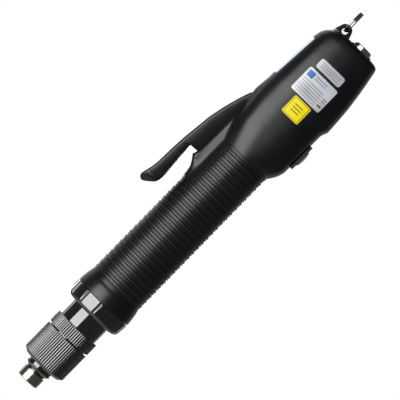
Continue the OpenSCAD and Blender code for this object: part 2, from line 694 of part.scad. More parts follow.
module grip_profile() {
    polygon(concat([[grip_bore_r, case_z], [spigot_r, case_z], [spigot_r, shell_z], [nose_collar_r - 0.4, shell_z],
        [nose_collar_r - 0.1, shell_z + 0.4], [nose_collar_r - 0.4, shell_z + 3.6], [nose_collar_r - 1, shell_z + 8],
        [grip_r + 0.1, rib_z - 1.6], [grip_r, rib_z - 0.2]],
        [for (i = [0:rib_pairs - 1]) each rib_profile(rib_z + i * rib_pitch)],
        [[grip_r - rib_depth, rib_top_z], [grip_bore_r, rib_top_z]]));
}

module shell_blank() {
    difference() {
        rotate_extrude() grip_profile();
        rotate(180 - saddle_half) rotate_extrude(angle = 2 * saddle_half)
            polygon([[grip_r - 0.25, saddle_z], [grip_r + 2, saddle_z], [grip_r + 2, rib_top_z - 2.5], [grip_r - 0.25, rib_top_z - 2.5]]);
    }
    rotate(180 - saddle_half) rotate_extrude(angle = 2 * saddle_half)
        polygon([[core_r - 0.8, saddle_z], [grip_r - 0.3, saddle_z + 0.3], [grip_r - 0.25, rib_top_z - 2.5], [core_r - 0.8, rib_top_z - 2.5]]);
    shell_loft(shell_levels);
}

module hollow_step(z0, z1, wall, rise = 0.01) {
    translate([0, 0, z0]) linear_extrude(z1 - z0 + rise) polygon([for (a = shell_angles)
        let(r = min(head_r(a, z0), head_r(a, z1)) - wall) [r * cos(a), r * sin(a)]]);
}

module slot_block() {
    wall_x = slot_floor_x - slot_wall;
    translate([-40, -slot_w / 2 - slot_wall, slot_z[0] - slot_wall])
        cube([40 - wall_x, slot_w + 2 * slot_wall, slot_z[1] - slot_z[0] + 2 * slot_wall]);
}

module hollow() {
    difference() {
        union() {
            translate([0, 0, case_z - over]) cylinder(r = grip_bore_r, h = hollow_levels[0] - case_z + over + 0.01);
            for (i = [0:len(hollow_levels) - 2]) hollow_step(hollow_levels[i], hollow_levels[i + 1], head_wall);
            hollow_step(hollow_levels[4], cap_seam_z, head_wall, over);
        }
        slot_block();
    }
}

module screw_bosses(y0, y1) {
    for (p = screw_places) intersection() {
        along_y(boss_r, y1 - y0, p[0], y0, p[1]);
        hollow_step(p[1] - 5, p[1] + 5, head_wall - 1);
    }
}

module shell() {
    difference() {
        shell_blank();
        hollow();
        // lever slot, its pin hole, the plunger's guide and the spring's seat
        translate([-40, -slot_w / 2, slot_z[0]]) cube([40 - slot_floor_x, slot_w, slot_z[1] - slot_z[0]]);
        along_y(lever_pin_r + seat_fit / 2, boss_w - 1.6, -lever_pin_x, -boss_w / 2 + 0.8, lever_pin_z);
        along_x(plunger_r + run_fit, slot_wall + 2 * over, -slot_floor_x - over, 0, plunger_z);
        along_x(3, over + 0.7, -slot_floor_x - over, 0, lever_spring_z);
        // window of the rocker switch
        translate([10, -5.1, rocker_z - 6.6]) cube([20, 10.2, 13.2]);
        // side label's recess
        translate([0, side_label_w / 2, 0]) rotate([90, 0, 0]) linear_extrude(side_label_w)
            polygon([[-30, side_label_z[0]], [-20.4, side_label_z[0]], [-19, side_label_z[1]], [-30, side_label_z[1]]]);
    }
}

module housing_front() {
    color(black_gloss) {
        difference() {
            union() {
                intersection() {
                    shell();
                    translate([-60, -60 - parting_gap / 2, 0]) cube([120, 60, 300]);
                }
                screw_bosses(-20, -parting_gap / 2);
            }
            for (p = screw_places) along_y(screw_r + 0.01, 9, p[0], -8, p[1]);
        }
    }
}

module housing_rear() {
    color(black_gloss) {
        difference() {
            union() {
                intersection() {
                    shell();
                    translate([-60, parting_gap / 2, 0]) cube([120, 60, 300]);
                }
                screw_bosses(parting_gap / 2, 20);
                for (x = [-1, 1], z = [6, board_len - 6])
                    along_y(2, 9, x * board_w / 3, board_y + board_t + seat_fit / 2, board_z + z);
            }
            for (p = screw_places) {
                along_y(screw_r + 0.15, 30, p[0], -over, p[1]);
                along_y(screw_head_r + 0.2, 20, p[0], screw_seat_y, p[1]);
            }
        }
    }
}

module case_screws() {
    color(steel) for (p = screw_places) difference() {
        union() {
            along_y(screw_r, screw_seat_y + 6, p[0], -6, p[1]);
            along_y(screw_head_r, 2.2, p[0], screw_seat_y, p[1]);
        }
        translate([p[0], screw_seat_y + 0.8, p[1]]) rotate([-90, 0, 0]) cylinder(r = 1.3, h = 2, $fn = 6);
    }
}

// ---------------------------------------------------------------- lever
function lever_ring(z) = let(outer = lookup(z, lever_outer), inner = lookup(z, lever_inner),
    w = lever_w / 2 * min(1, 0.42 + 0.58 * sqrt(max(0, min(1, (z - lever_tip_z) / 6)))))
    [for (t = [0:12:180]) [-inner - (outer - inner) * pow(sin(t), 0.42), w * (cos(t) < 0 ? -1 : 1) * pow(abs(cos(t)), 0.42), z]];

module lever() {
    color(black_gloss) difference() {
        loft([for (z = lever_levels) lever_ring(z)]);
        along_y(lever_pin_r + run_fit, lever_w + 2 * over, -lever_pin_x, -lever_w / 2 - over, lever_pin_z);
        // hollow of the paddle, open towards the grip
        translate([-lever_hollow_x, -lever_w / 2 + lever_wall, paddle_hollow[0]])
            cube([lever_hollow_x - lever_pin_x, lever_w - 2 * lever_wall, paddle_hollow[1] - paddle_hollow[0]]);
        along_x(3, 2 + over, -lever_pin_x - 2, 0, lever_spring_z);
    }
}

module lever_pin() {
    color(steel) along_y(lever_pin_r, boss_w - 2, -lever_pin_x, -boss_w / 2 + 1, lever_pin_z);
}

module lever_spring() {
    color(steel) translate([-lever_pin_x - 1.95, 0, lever_spring_z]) rotate([0, 90, 0])
        coil(2.2, 0.6, lever_pin_x + 1.95 - slot_floor_x + 0.65, 5, 12, 6);
}

module switch_plunger() {
    color("#c9342c") {
        along_x(plunger_r, 7.2, -lever_pin_x + pass_fit, 0, plunger_z);
    }
}

module start_switch() {
    color("#1f2a3d") difference() {
        translate([-slot_floor_x + slot_wall + seat_fit, -3.4, plunger_z - 9]) cube([9, 6.8, 18]);
        along_x(plunger_r + run_fit, 6.5, -slot_floor_x + slot_wall - over, 0, plunger_z);
    }
}

// ---------------------------------------------------------------- rocker switch
module rocker_housing() {
    color(black_matt) difference() {
        union() {
            translate([11, -5, rocker_z - 6.5]) cube([bezel_x - 11, 10, 13]);
            translate([bezel_x, -6.4, rocker_z - 8.1]) cube([bezel_t, 12.8, 16.2]);
        }
        translate([13, -rocker_w / 2 - pass_fit, rocker_z - rocker_open_h / 2]) cube([20, rocker_w + 2 * pass_fit, rocker_open_h]);
        along_y(1, 9.6, rocker_pivot_x, -4.8, rocker_z);
    }
}

module rocker() {
    half = rocker_len / 2;
    color("#e9e6da") {
        translate([0, rocker_w / 2, rocker_z]) rotate([90, 0, 0]) linear_extrude(rocker_w)
            polygon(concat([[15.4, -1.6], [19.5, -half]], [for (t = [-1:0.2:1]) [25.2 - 0.9 * t * t, half * t]],
                [[19.5, half], [15.4, 1.6]]));
        along_y(1 - run_fit, 9.4, rocker_pivot_x, -4.7, rocker_z);
    }
}

// ---------------------------------------------------------------- board
module circuit_board() {
    color("#1f6b3a") translate([-board_w / 2, board_y, board_z]) cube([board_w, board_t, board_len]);
}

// A block on the board: its middle, width, height along the board and thickness
module board_block(x, z, w, h, t) {
    translate([x - w / 2, board_y - t - 0.02, z - h / 2]) cube([w, t, h]);
}

module board_parts() {
    color("#2b2b2e") {
        board_block(-0.14 * board_w, board_z + 0.17 * board_len, 7, 7, 2.2);
        for (i = [-1:1]) board_block(0.28 * board_w * i, board_z + 0.4 * board_len, 3.4, 5, 1.6);
    }
    color("#3b4a7a") for (side = [-1, 1])
        along_y(3, 7, side * board_w / 4, board_y - 7.02, board_z + 0.61 * board_len);
    color("#d9d5c8") board_block(0, board_z + 0.87 * board_len, 14, 5, 5);
}

// ---------------------------------------------------------------- cap, lug, ring and connector
module end_cap() {
    color(black_gloss) difference() {
        union() {
            shell_loft([cap_seam_z + 0.05, cap_seam_z + 0.6, cap_seam_z + 1.2, cap_top_z]);
            difference() {
                hollow_step(cap_seam_z - 2.5, cap_seam_z, head_wall + seat_fit, 0.1);
                hollow_step(cap_seam_z - 3, cap_seam_z, head_wall + 1.6, 0.05);
            }
        }
        translate([connector_x, 0, cap_seam_z - 4]) cylinder(r = connector_r + seat_fit, h = 8);
        translate([-lug_x - 5.4, -lug_t / 2 - seat_fit / 2, cap_seam_z - over]) cube([10.8, lug_t + seat_fit, cap_t + 2 * over]);
    }
}

module hang_lug() {
    foot_z = cap_seam_z - 2.8;
    color(black_matt) difference() {
        union() {
            translate([-lug_x, lug_t / 2, 0]) rotate([90, 0, 0]) linear_extrude(lug_t) {
                hull() {
                    translate([0, cap_top_z + lug_hole_h + 0.3]) circle(r = 4, $fn = 48);
                    translate([-5.2, cap_seam_z + 0.05]) square([10.4, cap_t]);
                }
            }
            translate([-lug_x - 1.4, -5, foot_z]) cube([6, 10, cap_seam_z - foot_z]);
            translate([-lug_x - 1.4, -lug_t / 2, foot_z]) cube([6, lug_t, 4]);
        }
        along_y(lug_hole_r, lug_t + 2 * over, -lug_x, -lug_t / 2 - over, cap_top_z + lug_hole_h);
    }
}

module hang_ring() {
    color(steel) translate([-lug_x, 0, ring_z0 + ring_mean_r]) rotate([0, 90, 0])
        rotate_extrude() for (side = [-1, 1])
            translate([ring_mean_r, side * (ring_wire / 2 - 0.03)]) circle(r = ring_wire / 2, $fn = 24);
}

module connector_shell() {
    top = cap_top_z + connector_h;
    thread_top_z = cap_top_z + connector_nut_t + connector_run_out;
    color(steel) translate([connector_x, 0, 0]) difference() {
        union() {
            translate([0, 0, cap_seam_z - 14]) cylinder(r = connector_body_r, h = 13);
            translate([0, 0, cap_seam_z - 1.6]) cylinder(r = connector_r + 1.2, h = 1.6);
            translate([0, 0, cap_seam_z - 1]) cylinder(r = connector_r, h = thread_top_z - cap_seam_z + 1);
            translate([0, 0, cap_seam_z]) cylinder(r = connector_lead_r, h = top - cap_seam_z - 0.6);
            translate([0, 0, top - 0.6]) cylinder(r1 = connector_lead_r, r2 = connector_r - 0.7, h = 0.6);
        }
        translate([0, 0, cap_seam_z - 15]) cylinder(r = connector_r - 1.3, h = top - cap_seam_z + 16);
    }
}

// The contact pins, or the holes that they stand in where the radius is larger
module pin_circle(r) {
    for (a = [0:60:300]) rotate(a + 30) translate([3.5, 0, cap_seam_z - 16]) cylinder(r = r, h = 19, $fn = 16);
}

module connector_insert() {
    color(black_matt) translate([connector_x, 0, 0]) difference() {
        translate([0, 0, cap_seam_z - 12]) cylinder(r = connector_r - 1.35, h = 9);
        pin_circle(connector_pin_r + 0.02);
    }
}

module connector_pins() {
    color(brass) translate([connector_x, 0, 0]) pin_circle(connector_pin_r);
}

module connector_ring() {
    color(steel) translate([connector_x, 0, cap_top_z + 0.02]) difference() {
        cylinder(r = connector_nut_r, h = connector_nut_t);
        translate([0, 0, -over]) cylinder(r = connector_r + 0.02, h = 4);
        for (a = [0:60:300]) rotate(a) translate([connector_nut_r - 0.7, -0.8, -over]) cube([2, 1.6, 4]);
    }
}

housing_front();
housing_rear();
nose_collar();
clutch_tube();
torque_nut();
lock_ring();
spring_seat();
clutch_spring();
clutch_plate();
clutch_balls();
gear_case();
ring_gear();
spindle_bush();
spindle();
bit_balls();
bit_collar();
collar_spring();
collar_clip();
carrier_2();
planet_2a();
planet_2b();
planet_2c();
carrier_1();
planet_1a();
planet_1b();
planet_1c();
sun_gear_1();
motor_shaft();
rotor_magnet();
stator_core();
stator_coils();
motor_can();
motor_flange();
motor_bearings();
circuit_board();
board_parts();
start_switch();
switch_plunger();
lever();
lever_pin();
lever_spring();
rocker_housing();
rocker();
end_cap();
hang_lug();
hang_ring();
connector_shell();
connector_insert();
connector_pins();
connector_ring();
case_screws();
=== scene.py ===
"""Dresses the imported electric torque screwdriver: housing, grip, torque nut, lever, labels and fittings.

Lengths in the dataclasses are millimetres, in the frame's own axes: +Z up the spindle, -Y to the labelled
face, -X to the start lever. Meshes are written in metres.
"""
from __future__ import annotations

import logging
import math
import sys
from dataclasses import dataclass, field
from enum import Enum
from typing import Callable, Sequence

import bmesh
import bpy
from bpy.types import Material, Mesh, Node, NodeSocket, NodeTree, Object
from mathutils import Matrix, Vector

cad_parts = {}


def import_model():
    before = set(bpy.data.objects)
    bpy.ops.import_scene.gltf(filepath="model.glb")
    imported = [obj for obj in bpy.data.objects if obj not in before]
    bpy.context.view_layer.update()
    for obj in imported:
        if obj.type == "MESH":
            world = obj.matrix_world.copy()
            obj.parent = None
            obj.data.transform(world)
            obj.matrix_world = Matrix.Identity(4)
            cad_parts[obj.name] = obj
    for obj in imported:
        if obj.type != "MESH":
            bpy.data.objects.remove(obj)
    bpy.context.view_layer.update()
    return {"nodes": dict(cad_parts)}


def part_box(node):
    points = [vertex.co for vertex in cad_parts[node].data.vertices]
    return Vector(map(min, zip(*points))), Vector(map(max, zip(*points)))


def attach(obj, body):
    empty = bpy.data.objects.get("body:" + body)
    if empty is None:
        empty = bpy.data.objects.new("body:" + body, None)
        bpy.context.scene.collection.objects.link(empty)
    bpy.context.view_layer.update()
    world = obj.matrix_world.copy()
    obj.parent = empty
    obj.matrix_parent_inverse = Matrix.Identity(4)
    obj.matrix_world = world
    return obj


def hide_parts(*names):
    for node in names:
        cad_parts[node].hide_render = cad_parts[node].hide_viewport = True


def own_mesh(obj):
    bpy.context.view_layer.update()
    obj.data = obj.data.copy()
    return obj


MM = 0.001
LOG = logging.getLogger("torque_screwdriver")
Table = Sequence[tuple[float, float]]
# Bore of the torque nut and the lock ring, 0.1 mm clear of the clutch tube
RING_BORE_R = 12.75 + 0.1


# --- numbers
def lookup(table: Table, at: float) -> float:
    """Reads a table of (place, value) rows at a place, in straight steps and level past its ends."""
    if at <= table[0][0]:
        return table[0][1]
    for (low, first), (high, second) in zip(table, table[1:]):
        if at <= high:
            return first + (second - first) * (at - low) / (high - low)
    return table[-1][1]


def eased(table: Table, at: float, reach: float) -> float:
    """Reads a table with its corners rounded over a reach to each side."""
    return sum(lookup(table, at + reach * step / 3) for step in range(-3, 4)) / 7


def smooth_step(low: float, high: float, value: float) -> float:
    """Rises from 0 at low to 1 at high, level at both ends."""
    share = min(1.0, max(0.0, (value - low) / (high - low)))
    return share * share * (3 - 2 * share)


def spread(start: float, end: float, count: int) -> list[float]:
    """Gives count evenly spread values from start to end, both included."""
    return [start + (end - start) * i / (count - 1) for i in range(count)]


def around(count: int) -> list[float]:
    """Gives count angles in radians, evenly spread over a full turn."""
    return [2 * math.pi * i / count for i in range(count)]


def rounded(corners: Sequence[tuple[float, float, float]], steps: int = 4) -> list[tuple[float, float]]:
    """Rounds the corners of a closed outline.

    Args:
        corners: (across, along, fillet radius) of each corner, in order.
        steps: facets in each fillet.

    Returns:
        The points of the outline.
    """
    points: list[tuple[float, float]] = []
    for i, (across, along, radius) in enumerate(corners):
        corner = Vector((across, along))
        if radius <= 0:
            points.append((across, along))
            continue
        back = (Vector(corners[i - 1][:2]) - corner).normalized()
        ahead = (Vector(corners[(i + 1) % len(corners)][:2]) - corner).normalized()
        half = math.acos(max(-1.0, min(1.0, back.dot(ahead)))) / 2
        centre = corner + (back + ahead).normalized() * radius / math.sin(half)
        first = corner + back * radius / math.tan(half) - centre
        last = corner + ahead * radius / math.tan(half) - centre
        for step in range(steps + 1):
            mix = first.lerp(last, step / steps).normalized() * radius
            points.append(tuple(centre + mix))
    return points


@dataclass(frozen=True)
class Place:
    """Where the frame puts a node: its lowest and highest corners, in millimetres."""

    low: Vector
    high: Vector

    @classmethod
    def of(cls, node: str) -> Place:
        """Reads a node's box from the frame."""
        low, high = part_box(node)
        return cls(Vector(low) / MM, Vector(high) / MM)

    def middle(self) -> Vector:
        """The centre of the box."""
        return (self.low + self.high) / 2


# --- meshes
@dataclass
class Skin:
    """Points in millimetres and faces, gathered before they become one mesh."""

    points: list[Vector] = field(default_factory=list)
    faces: list[tuple[int, ...]] = field(default_factory=list)

    def grid(self, rows: Sequence[Sequence[Vector]], across: bool = False,
             along: bool = False) -> list[list[int]]:
        """Adds a sheet of quads.

        Args:
            rows: points, row by row, each row of equal length.
            across: whether each row closes on itself.
            along: whether the last row joins the first.

        Returns:
            The point numbers, row by row.
        """
        ids = []
        for row in rows:
            ids.append(list(range(len(self.points), len(self.points) + len(row))))
            self.points.extend(Vector(point) for point in row)
        count = len(rows[0])
        for low, high in zip(ids, ids[1:] + ([ids[0]] if along else [])):
            for i in range(count if across else count - 1):
                j = (i + 1) % count
                self.faces.append((low[i], low[j], high[j], high[i]))
        return ids

    def strip(self, first: Sequence[int], second: Sequence[int]) -> None:
        """Joins two rows of points of equal length with quads."""
        for i in range(len(first) - 1):
            self.faces.append((first[i], first[i + 1], second[i + 1], second[i]))

    def rim(self, outer: Sequence[Sequence[int]], inner: Sequence[Sequence[int]]) -> None:
        """Joins the borders of two sheets of equal rows and columns."""
        for end in (0, -1):
            self.strip(outer[end], inner[end])
        for end in (0, -1):
            self.strip([row[end] for row in outer], [row[end] for row in inner])

    def loft(self, rings: Sequence[Sequence[Vector]]) -> None:
        """Adds a solid through closed rings, with a face on each end."""
        ids = self.grid(rings, across=True)
        self.faces.append(tuple(reversed(ids[0])))
        self.faces.append(tuple(ids[-1]))

    def revolve(self, outline: Sequence[tuple[float, float]], columns: int,
                reach: Callable[[float, float, float], float] | None = None) -> None:
        """Turns a closed outline all round the spindle's axis, starting at +X.

        Args:
            outline: (radius, height) points.
            columns: steps round the axis.
            reach: gives the radius from (radius, height, degrees), where it changes round the axis.
        """
        rows = []
        for i in range(columns):
            turn = 360.0 * i / columns
            angle = math.radians(turn)
            row = []
            for radius, height in outline:
                out = reach(radius, height, turn) if reach else radius
                row.append(Vector((out * math.cos(angle), out * math.sin(angle), height)))
            rows.append(row)
        self.grid(rows, across=True, along=True)

    def build(self, name: str, sharp: float = 32.0) -> Object:
        """Makes the mesh object, merged, facing outwards and smooth up to an angle.

        Args:
            name: the object's name.
            sharp: degrees between faces past which an edge stays sharp.

        Returns:
            The new object, linked to the scene.
        """
        mesh = bpy.data.meshes.new(name)
        mesh.from_pydata([tuple(point * MM) for point in self.points], [], self.faces)
        work = bmesh.new()
        work.from_mesh(mesh)
        bmesh.ops.remove_doubles(work, verts=work.verts, dist=1e-7)
        bmesh.ops.recalc_face_normals(work, faces=work.faces)
        work.to_mesh(mesh)
        work.free()
        soften(mesh, sharp)
        return placed(name, mesh)


def placed(name: str, data: bpy.types.ID) -> Object:
    """Links a mesh, lamp or camera to the scene as a new object."""
    made = bpy.data.objects.new(name, data)
    bpy.context.scene.collection.objects.link(made)
    return made


def soften(mesh: Mesh, sharp: float = 32.0) -> None:
    """Smooths a mesh up to an angle in degrees."""
    mesh.shade_smooth()
    mesh.set_sharp_from_angle(angle=math.radians(sharp))


def settled(piece: Object) -> Object:
    """Turns an object's modifiers into its plain mesh."""
    evaluated = piece.evaluated_get(bpy.context.evaluated_depsgraph_get())
    mesh = bpy.data.meshes.new_from_object(evaluated)
    piece.modifiers.clear()
    piece.data = mesh
    return piece


def carved(piece: Object, tools: Sequence[Object], add: bool = False) -> Object:
    """Cuts tools out of a piece, or adds them to it, and removes the tools."""
    for tool in tools:
        cut = piece.modifiers.new("carve", "BOOLEAN")
        cut.operation = "UNION" if add else "DIFFERENCE"
        cut.solver = "EXACT"
        cut.object = tool
    settled(piece)
    for tool in tools:
        bpy.data.objects.remove(tool)
    soften(piece.data)
    return piece


def block(low: Sequence[float], high: Sequence[float]) -> Object:
    """A box between two corners, as a tool for carving."""
    skin = Skin()
    corners = ((low[0], low[1]), (high[0], low[1]), (high[0], high[1]), (low[0], high[1]))
    skin.loft([[Vector((x, y, z)) for x, y in corners] for z in (low[2], high[2])])
    return skin.build("tool")


def rod(start: Sequence[float], end: Sequence[float], radius: float, sides: int = 40) -> Object:
    """A round bar between two points, as a tool for carving."""
    first, last = Vector(start), Vector(end)
    turn = (last - first).to_track_quat("Z", "Y")
    ring = [turn @ Vector((radius * math.cos(a), radius * math.sin(a), 0)) for a in around(sides)]
    skin = Skin()
    skin.loft([[first + point for point in ring], [last + point for point in ring]])
    return skin.build("tool")


def joined(name: str, pieces: Sequence[Object]) -> Object:
    """Joins pieces into one object that keeps their materials."""
    mesh, materials = bmesh.new(), []
    for piece in pieces:
        first = len(materials)
        materials.extend(piece.data.materials)
        start = len(mesh.faces)
        mesh.from_mesh(piece.data)
        mesh.faces.ensure_lookup_table()
        for face in mesh.faces[start:]:
            face.material_index += first
        bpy.data.objects.remove(piece)
    data = bpy.data.meshes.new(name)
    mesh.to_mesh(data)
    mesh.free()
    for material in materials:
        data.materials.append(material)
    return placed(name, data)


# --- node trees
def add_node(tree: NodeTree, kind: str, inputs: dict | None = None, **settings: object) -> Node:
    """Adds a node with its settings and inputs.

    Args:
        tree: the tree that takes the node.
        kind: the node's type name.
        inputs: value or output socket for each input, by name or number.
        settings: the node's own properties.

    Returns:
        The new node.
    """
    node = tree.nodes.new(kind)
    for key, value in settings.items():
        setattr(node, key, value)
    for key, value in (inputs or {}).items():
        if isinstance(value, NodeSocket):
            tree.links.new(value, node.inputs[key])
        else:
            node.inputs[key].default_value = value
    return node


def arithmetic(tree: NodeTree, operation: str, first: object, second: object = 0.0) -> NodeSocket:
    """Adds a math node on two values or sockets."""
    return add_node(tree, "ShaderNodeMath", {0: first, 1: second}, operation=operation).outputs[0]


def blank_material(name: str) -> tuple[Material, NodeTree]:
    """Makes a material whose node tree is empty."""
    made = bpy.data.materials.new(name)
    made.use_nodes = True
    made.node_tree.nodes.clear()
    return made, made.node_tree


class Socket(Enum):
    """Kinds of input that a Geometry Nodes tree takes."""

    LENGTH = "NodeSocketFloat"
    COUNT = "NodeSocketInt"
    MATERIAL = "NodeSocketMaterial"
    PIECE = "NodeSocketObject"


class PatternTree:
    """A Geometry Nodes tree that makes what repeats; subclasses lay its nodes."""

    name = "pattern"
    sizes: dict[str, Socket] = {}

    def __init__(self) -> None:
        """Builds the tree with its named inputs."""
        self.tree = bpy.data.node_groups.new(self.name, "GeometryNodeTree")
        self.tree.interface.new_socket("Geometry", in_out="OUTPUT", socket_type="NodeSocketGeometry")
        for label, kind in {**self.sizes, "Material": Socket.MATERIAL}.items():
            self.tree.interface.new_socket(label, in_out="INPUT", socket_type=kind.value)
        self.given = add_node(self.tree, "NodeGroupInput").outputs
        repeated = self.lay()
        real = add_node(self.tree, "GeometryNodeRealizeInstances", {"Geometry": repeated})
        welded = add_node(self.tree, "GeometryNodeMergeByDistance",
                          {"Geometry": real.outputs[0], "Distance": 2e-6})
        dressed = add_node(self.tree, "GeometryNodeSetMaterial",
                           {"Geometry": welded.outputs[0], "Material": self.given["Material"]})
        add_node(self.tree, "NodeGroupOutput", {0: dressed.outputs[0]})

    def lay(self) -> NodeSocket:
        """Lays the nodes that repeat the shape, and returns the socket that carries it."""
        raise NotImplementedError

    def math(self, operation: str, first: object, second: object = 0.0) -> NodeSocket:
        """Adds a math node on two values or sockets to this tree."""
        return arithmetic(self.tree, operation, first, second)

    def make(self, name: str, values: dict[str, object], material: Material) -> Object:
        """Runs the tree and returns the plain mesh that it makes.

        Args:
            name: the new object's name.
            values: the tree's inputs by name, lengths in metres.
            material: the finish of the mesh.

        Returns:
            The object, its modifier already removed.
        """
        piece = placed(name, bpy.data.meshes.new(name))
        modifier = piece.modifiers.new(self.name, "NODES")
        modifier.node_group = self.tree
        wanted = {**values, "Material": material}
        for item in self.tree.interface.items_tree:
            if item.in_out == "INPUT":
                modifier[item.identifier] = wanted[item.name]
        settled(piece)
        soften(piece.data, 40)
        return piece


class RingOfSectors(PatternTree):
    """Repeats one wedge all the way round the Z axis and welds the wedges into one body."""

    name = "ring_of_sectors"
    sizes = {"Wedge": Socket.PIECE, "Count": Socket.COUNT}

    def lay(self) -> NodeSocket:
        """Places the wedge on points that share the axis, each turned by its share of a turn."""
        wedge = add_node(self.tree, "GeometryNodeObjectInfo", {"Object": self.given["Wedge"]})
        points = add_node(self.tree, "GeometryNodeMeshLine",
                          {"Count": self.given["Count"], "Offset": (0, 0, 0)})
        index = add_node(self.tree, "GeometryNodeInputIndex").outputs[0]
        turn = self.math("MULTIPLY", self.math("DIVIDE", index, self.given["Count"]), 2 * math.pi)
        spin = add_node(self.tree, "ShaderNodeCombineXYZ", {"Z": turn})
        return add_node(self.tree, "GeometryNodeInstanceOnPoints", {
            "Points": points.outputs[0], "Instance": wedge.outputs["Geometry"],
            "Rotation": spin.outputs[0]}).outputs[0]


class OnPoints(PatternTree):
    """Places one small piece on each point of another piece."""

    name = "on_points"
    sizes = {"Piece": Socket.PIECE, "Places": Socket.PIECE}

    def lay(self) -> NodeSocket:
        """Instances the piece on the places."""
        piece = add_node(self.tree, "GeometryNodeObjectInfo", {"Object": self.given["Piece"]})
        places = add_node(self.tree, "GeometryNodeObjectInfo", {"Object": self.given["Places"]})
        return add_node(self.tree, "GeometryNodeInstanceOnPoints", {
            "Points": places.outputs["Geometry"], "Instance": piece.outputs["Geometry"]}).outputs[0]


class RidgeStack(PatternTree):
    """Stacks round-backed ridges that run round the grip in an arc."""

    name = "ridge_stack"
    sizes = {"Radius": Socket.LENGTH, "Half Width": Socket.LENGTH, "Depth": Socket.LENGTH,
             "First Height": Socket.LENGTH, "Pitch": Socket.LENGTH, "Count": Socket.COUNT,
             "Start Angle": Socket.LENGTH, "Sweep Angle": Socket.LENGTH, "Steps": Socket.COUNT,
             "Tip": Socket.LENGTH}

    def lay(self) -> NodeSocket:
        """Sweeps an oval along an arc, narrows its free end over the tip, and repeats it up a line."""
        arc = add_node(self.tree, "GeometryNodeCurveArc", {
            "Resolution": self.given["Steps"], "Radius": self.given["Radius"],
            "Start Angle": self.given["Start Angle"], "Sweep Angle": self.given["Sweep Angle"]})
        oval = add_node(self.tree, "GeometryNodeCurvePrimitiveCircle", {"Resolution": 16, "Radius": 1.0})
        squash = add_node(self.tree, "ShaderNodeCombineXYZ",
                          {"X": self.given["Depth"], "Y": self.given["Half Width"], "Z": 1.0})
        profile = add_node(self.tree, "GeometryNodeTransform",
                           {"Geometry": oval.outputs[0], "Scale": squash.outputs[0]})
        along = add_node(self.tree, "GeometryNodeSplineParameter").outputs["Factor"]
        share = self.math("DIVIDE", along, self.math("MAXIMUM", self.given["Tip"], 1e-5))
        left = self.math("SUBTRACT", 1.0, self.math("MINIMUM", share, 1.0))
        full = self.math("SQRT", self.math("MAXIMUM", self.math("SUBTRACT", 1.0,
                                                                self.math("MULTIPLY", left, left)), 0.02))
        ridge = add_node(self.tree, "GeometryNodeCurveToMesh", {
            "Curve": arc.outputs[0], "Profile Curve": profile.outputs[0], "Scale": full, "Fill Caps": True})
        start = add_node(self.tree, "ShaderNodeCombineXYZ", {"Z": self.given["First Height"]})
        rise = add_node(self.tree, "ShaderNodeCombineXYZ", {"Z": self.given["Pitch"]})
        line = add_node(self.tree, "GeometryNodeMeshLine", {
            "Count": self.given["Count"], "Start Location": start.outputs[0], "Offset": rise.outputs[0]})
        return add_node(self.tree, "GeometryNodeInstanceOnPoints",
                        {"Points": line.outputs[0], "Instance": ridge.outputs[0]}).outputs[0]


# --- finishes
def linear(colour: str) -> tuple[float, float, float, float]:
    """Turns an sRGB hex colour such as #15161a into linear red, green, blue and alpha."""
    parts = [int(colour[i:i + 2], 16) / 255 for i in (1, 3, 5)]
    return (*((c / 12.92 if c <= 0.04045 else ((c + 0.055) / 1.055) ** 2.4) for c in parts), 1.0)


@dataclass(frozen=True)
class Finish:
    """What every finish has: its name, colour, shine and how much its shine wanders."""

    name: str
    colour: str
    roughness: float
    unevenness: float = 0.05

    def material(self) -> Material:
        """Builds the material once and returns it."""
        made = bpy.data.materials.get(self.name)
        if made:
            return made
        made, tree = blank_material(self.name)
        made.diffuse_color = linear(self.colour)
        place = add_node(tree, "ShaderNodeTexCoord").outputs["Object"]
        surface = add_node(tree, "ShaderNodeBsdfPrincipled",
                           {"Base Color": linear(self.colour), "Roughness": self.roughness})
        self.dress(tree, surface, place)
        add_node(tree, "ShaderNodeOutputMaterial", {"Surface": surface.outputs[0]})
        return made

    def dress(self, tree: NodeTree, surface: Node, place: NodeSocket) -> None:
        """Lays the nodes that this finish adds to its surface shader."""
        raise NotImplementedError

    def noise(self, tree: NodeTree, place: NodeSocket, size: Sequence[float],
              detail: float = 3.0) -> NodeSocket:
        """Adds noise whose grains have a real size along X, Y and Z, in millimetres."""
        fitted = add_node(tree, "ShaderNodeMapping",
                          {"Vector": place, "Scale": [1 / (step * MM) for step in size]})
        return add_node(tree, "ShaderNodeTexNoise",
                        {"Vector": fitted.outputs[0], "Scale": 1.0, "Detail": detail}).outputs["Fac"]

    def wander(self, tree: NodeTree, surface: Node, source: NodeSocket) -> None:
        """Lets the roughness wander about its value with a noise."""
        low, high = self.roughness - self.unevenness, self.roughness + self.unevenness
        mapped = add_node(tree, "ShaderNodeMapRange", {
            "Value": source, "From Min": 0.3, "From Max": 0.7, "To Min": max(0.02, low),
            "To Max": min(1.0, high)})
        tree.links.new(mapped.outputs[0], surface.inputs["Roughness"])

    def emboss(self, tree: NodeTree, surface: Node, height: NodeSocket,
               depth: float) -> None:
        """Raises the surface by a height pattern, its depth in millimetres."""
        bump = add_node(tree, "ShaderNodeBump", {"Height": height, "Distance": depth * MM, "Strength": 1.0})
        tree.links.new(bump.outputs[0], surface.inputs["Normal"])

    def tint(self, tree: NodeTree, surface: Node, source: NodeSocket,
             other: str, share: float) -> None:
        """Lets the colour wander towards another one by a share."""
        mapped = add_node(tree, "ShaderNodeMapRange", {
            "Value": source, "From Min": 0.35, "From Max": 0.75, "To Min": 0.0, "To Max": share})
        mix = add_node(tree, "ShaderNodeMix", {"Factor": mapped.outputs[0]}, data_type="RGBA")
        mix.inputs["A"].default_value = linear(self.colour)
        mix.inputs["B"].default_value = linear(other)
        tree.links.new(mix.outputs["Result"], surface.inputs["Base Color"])


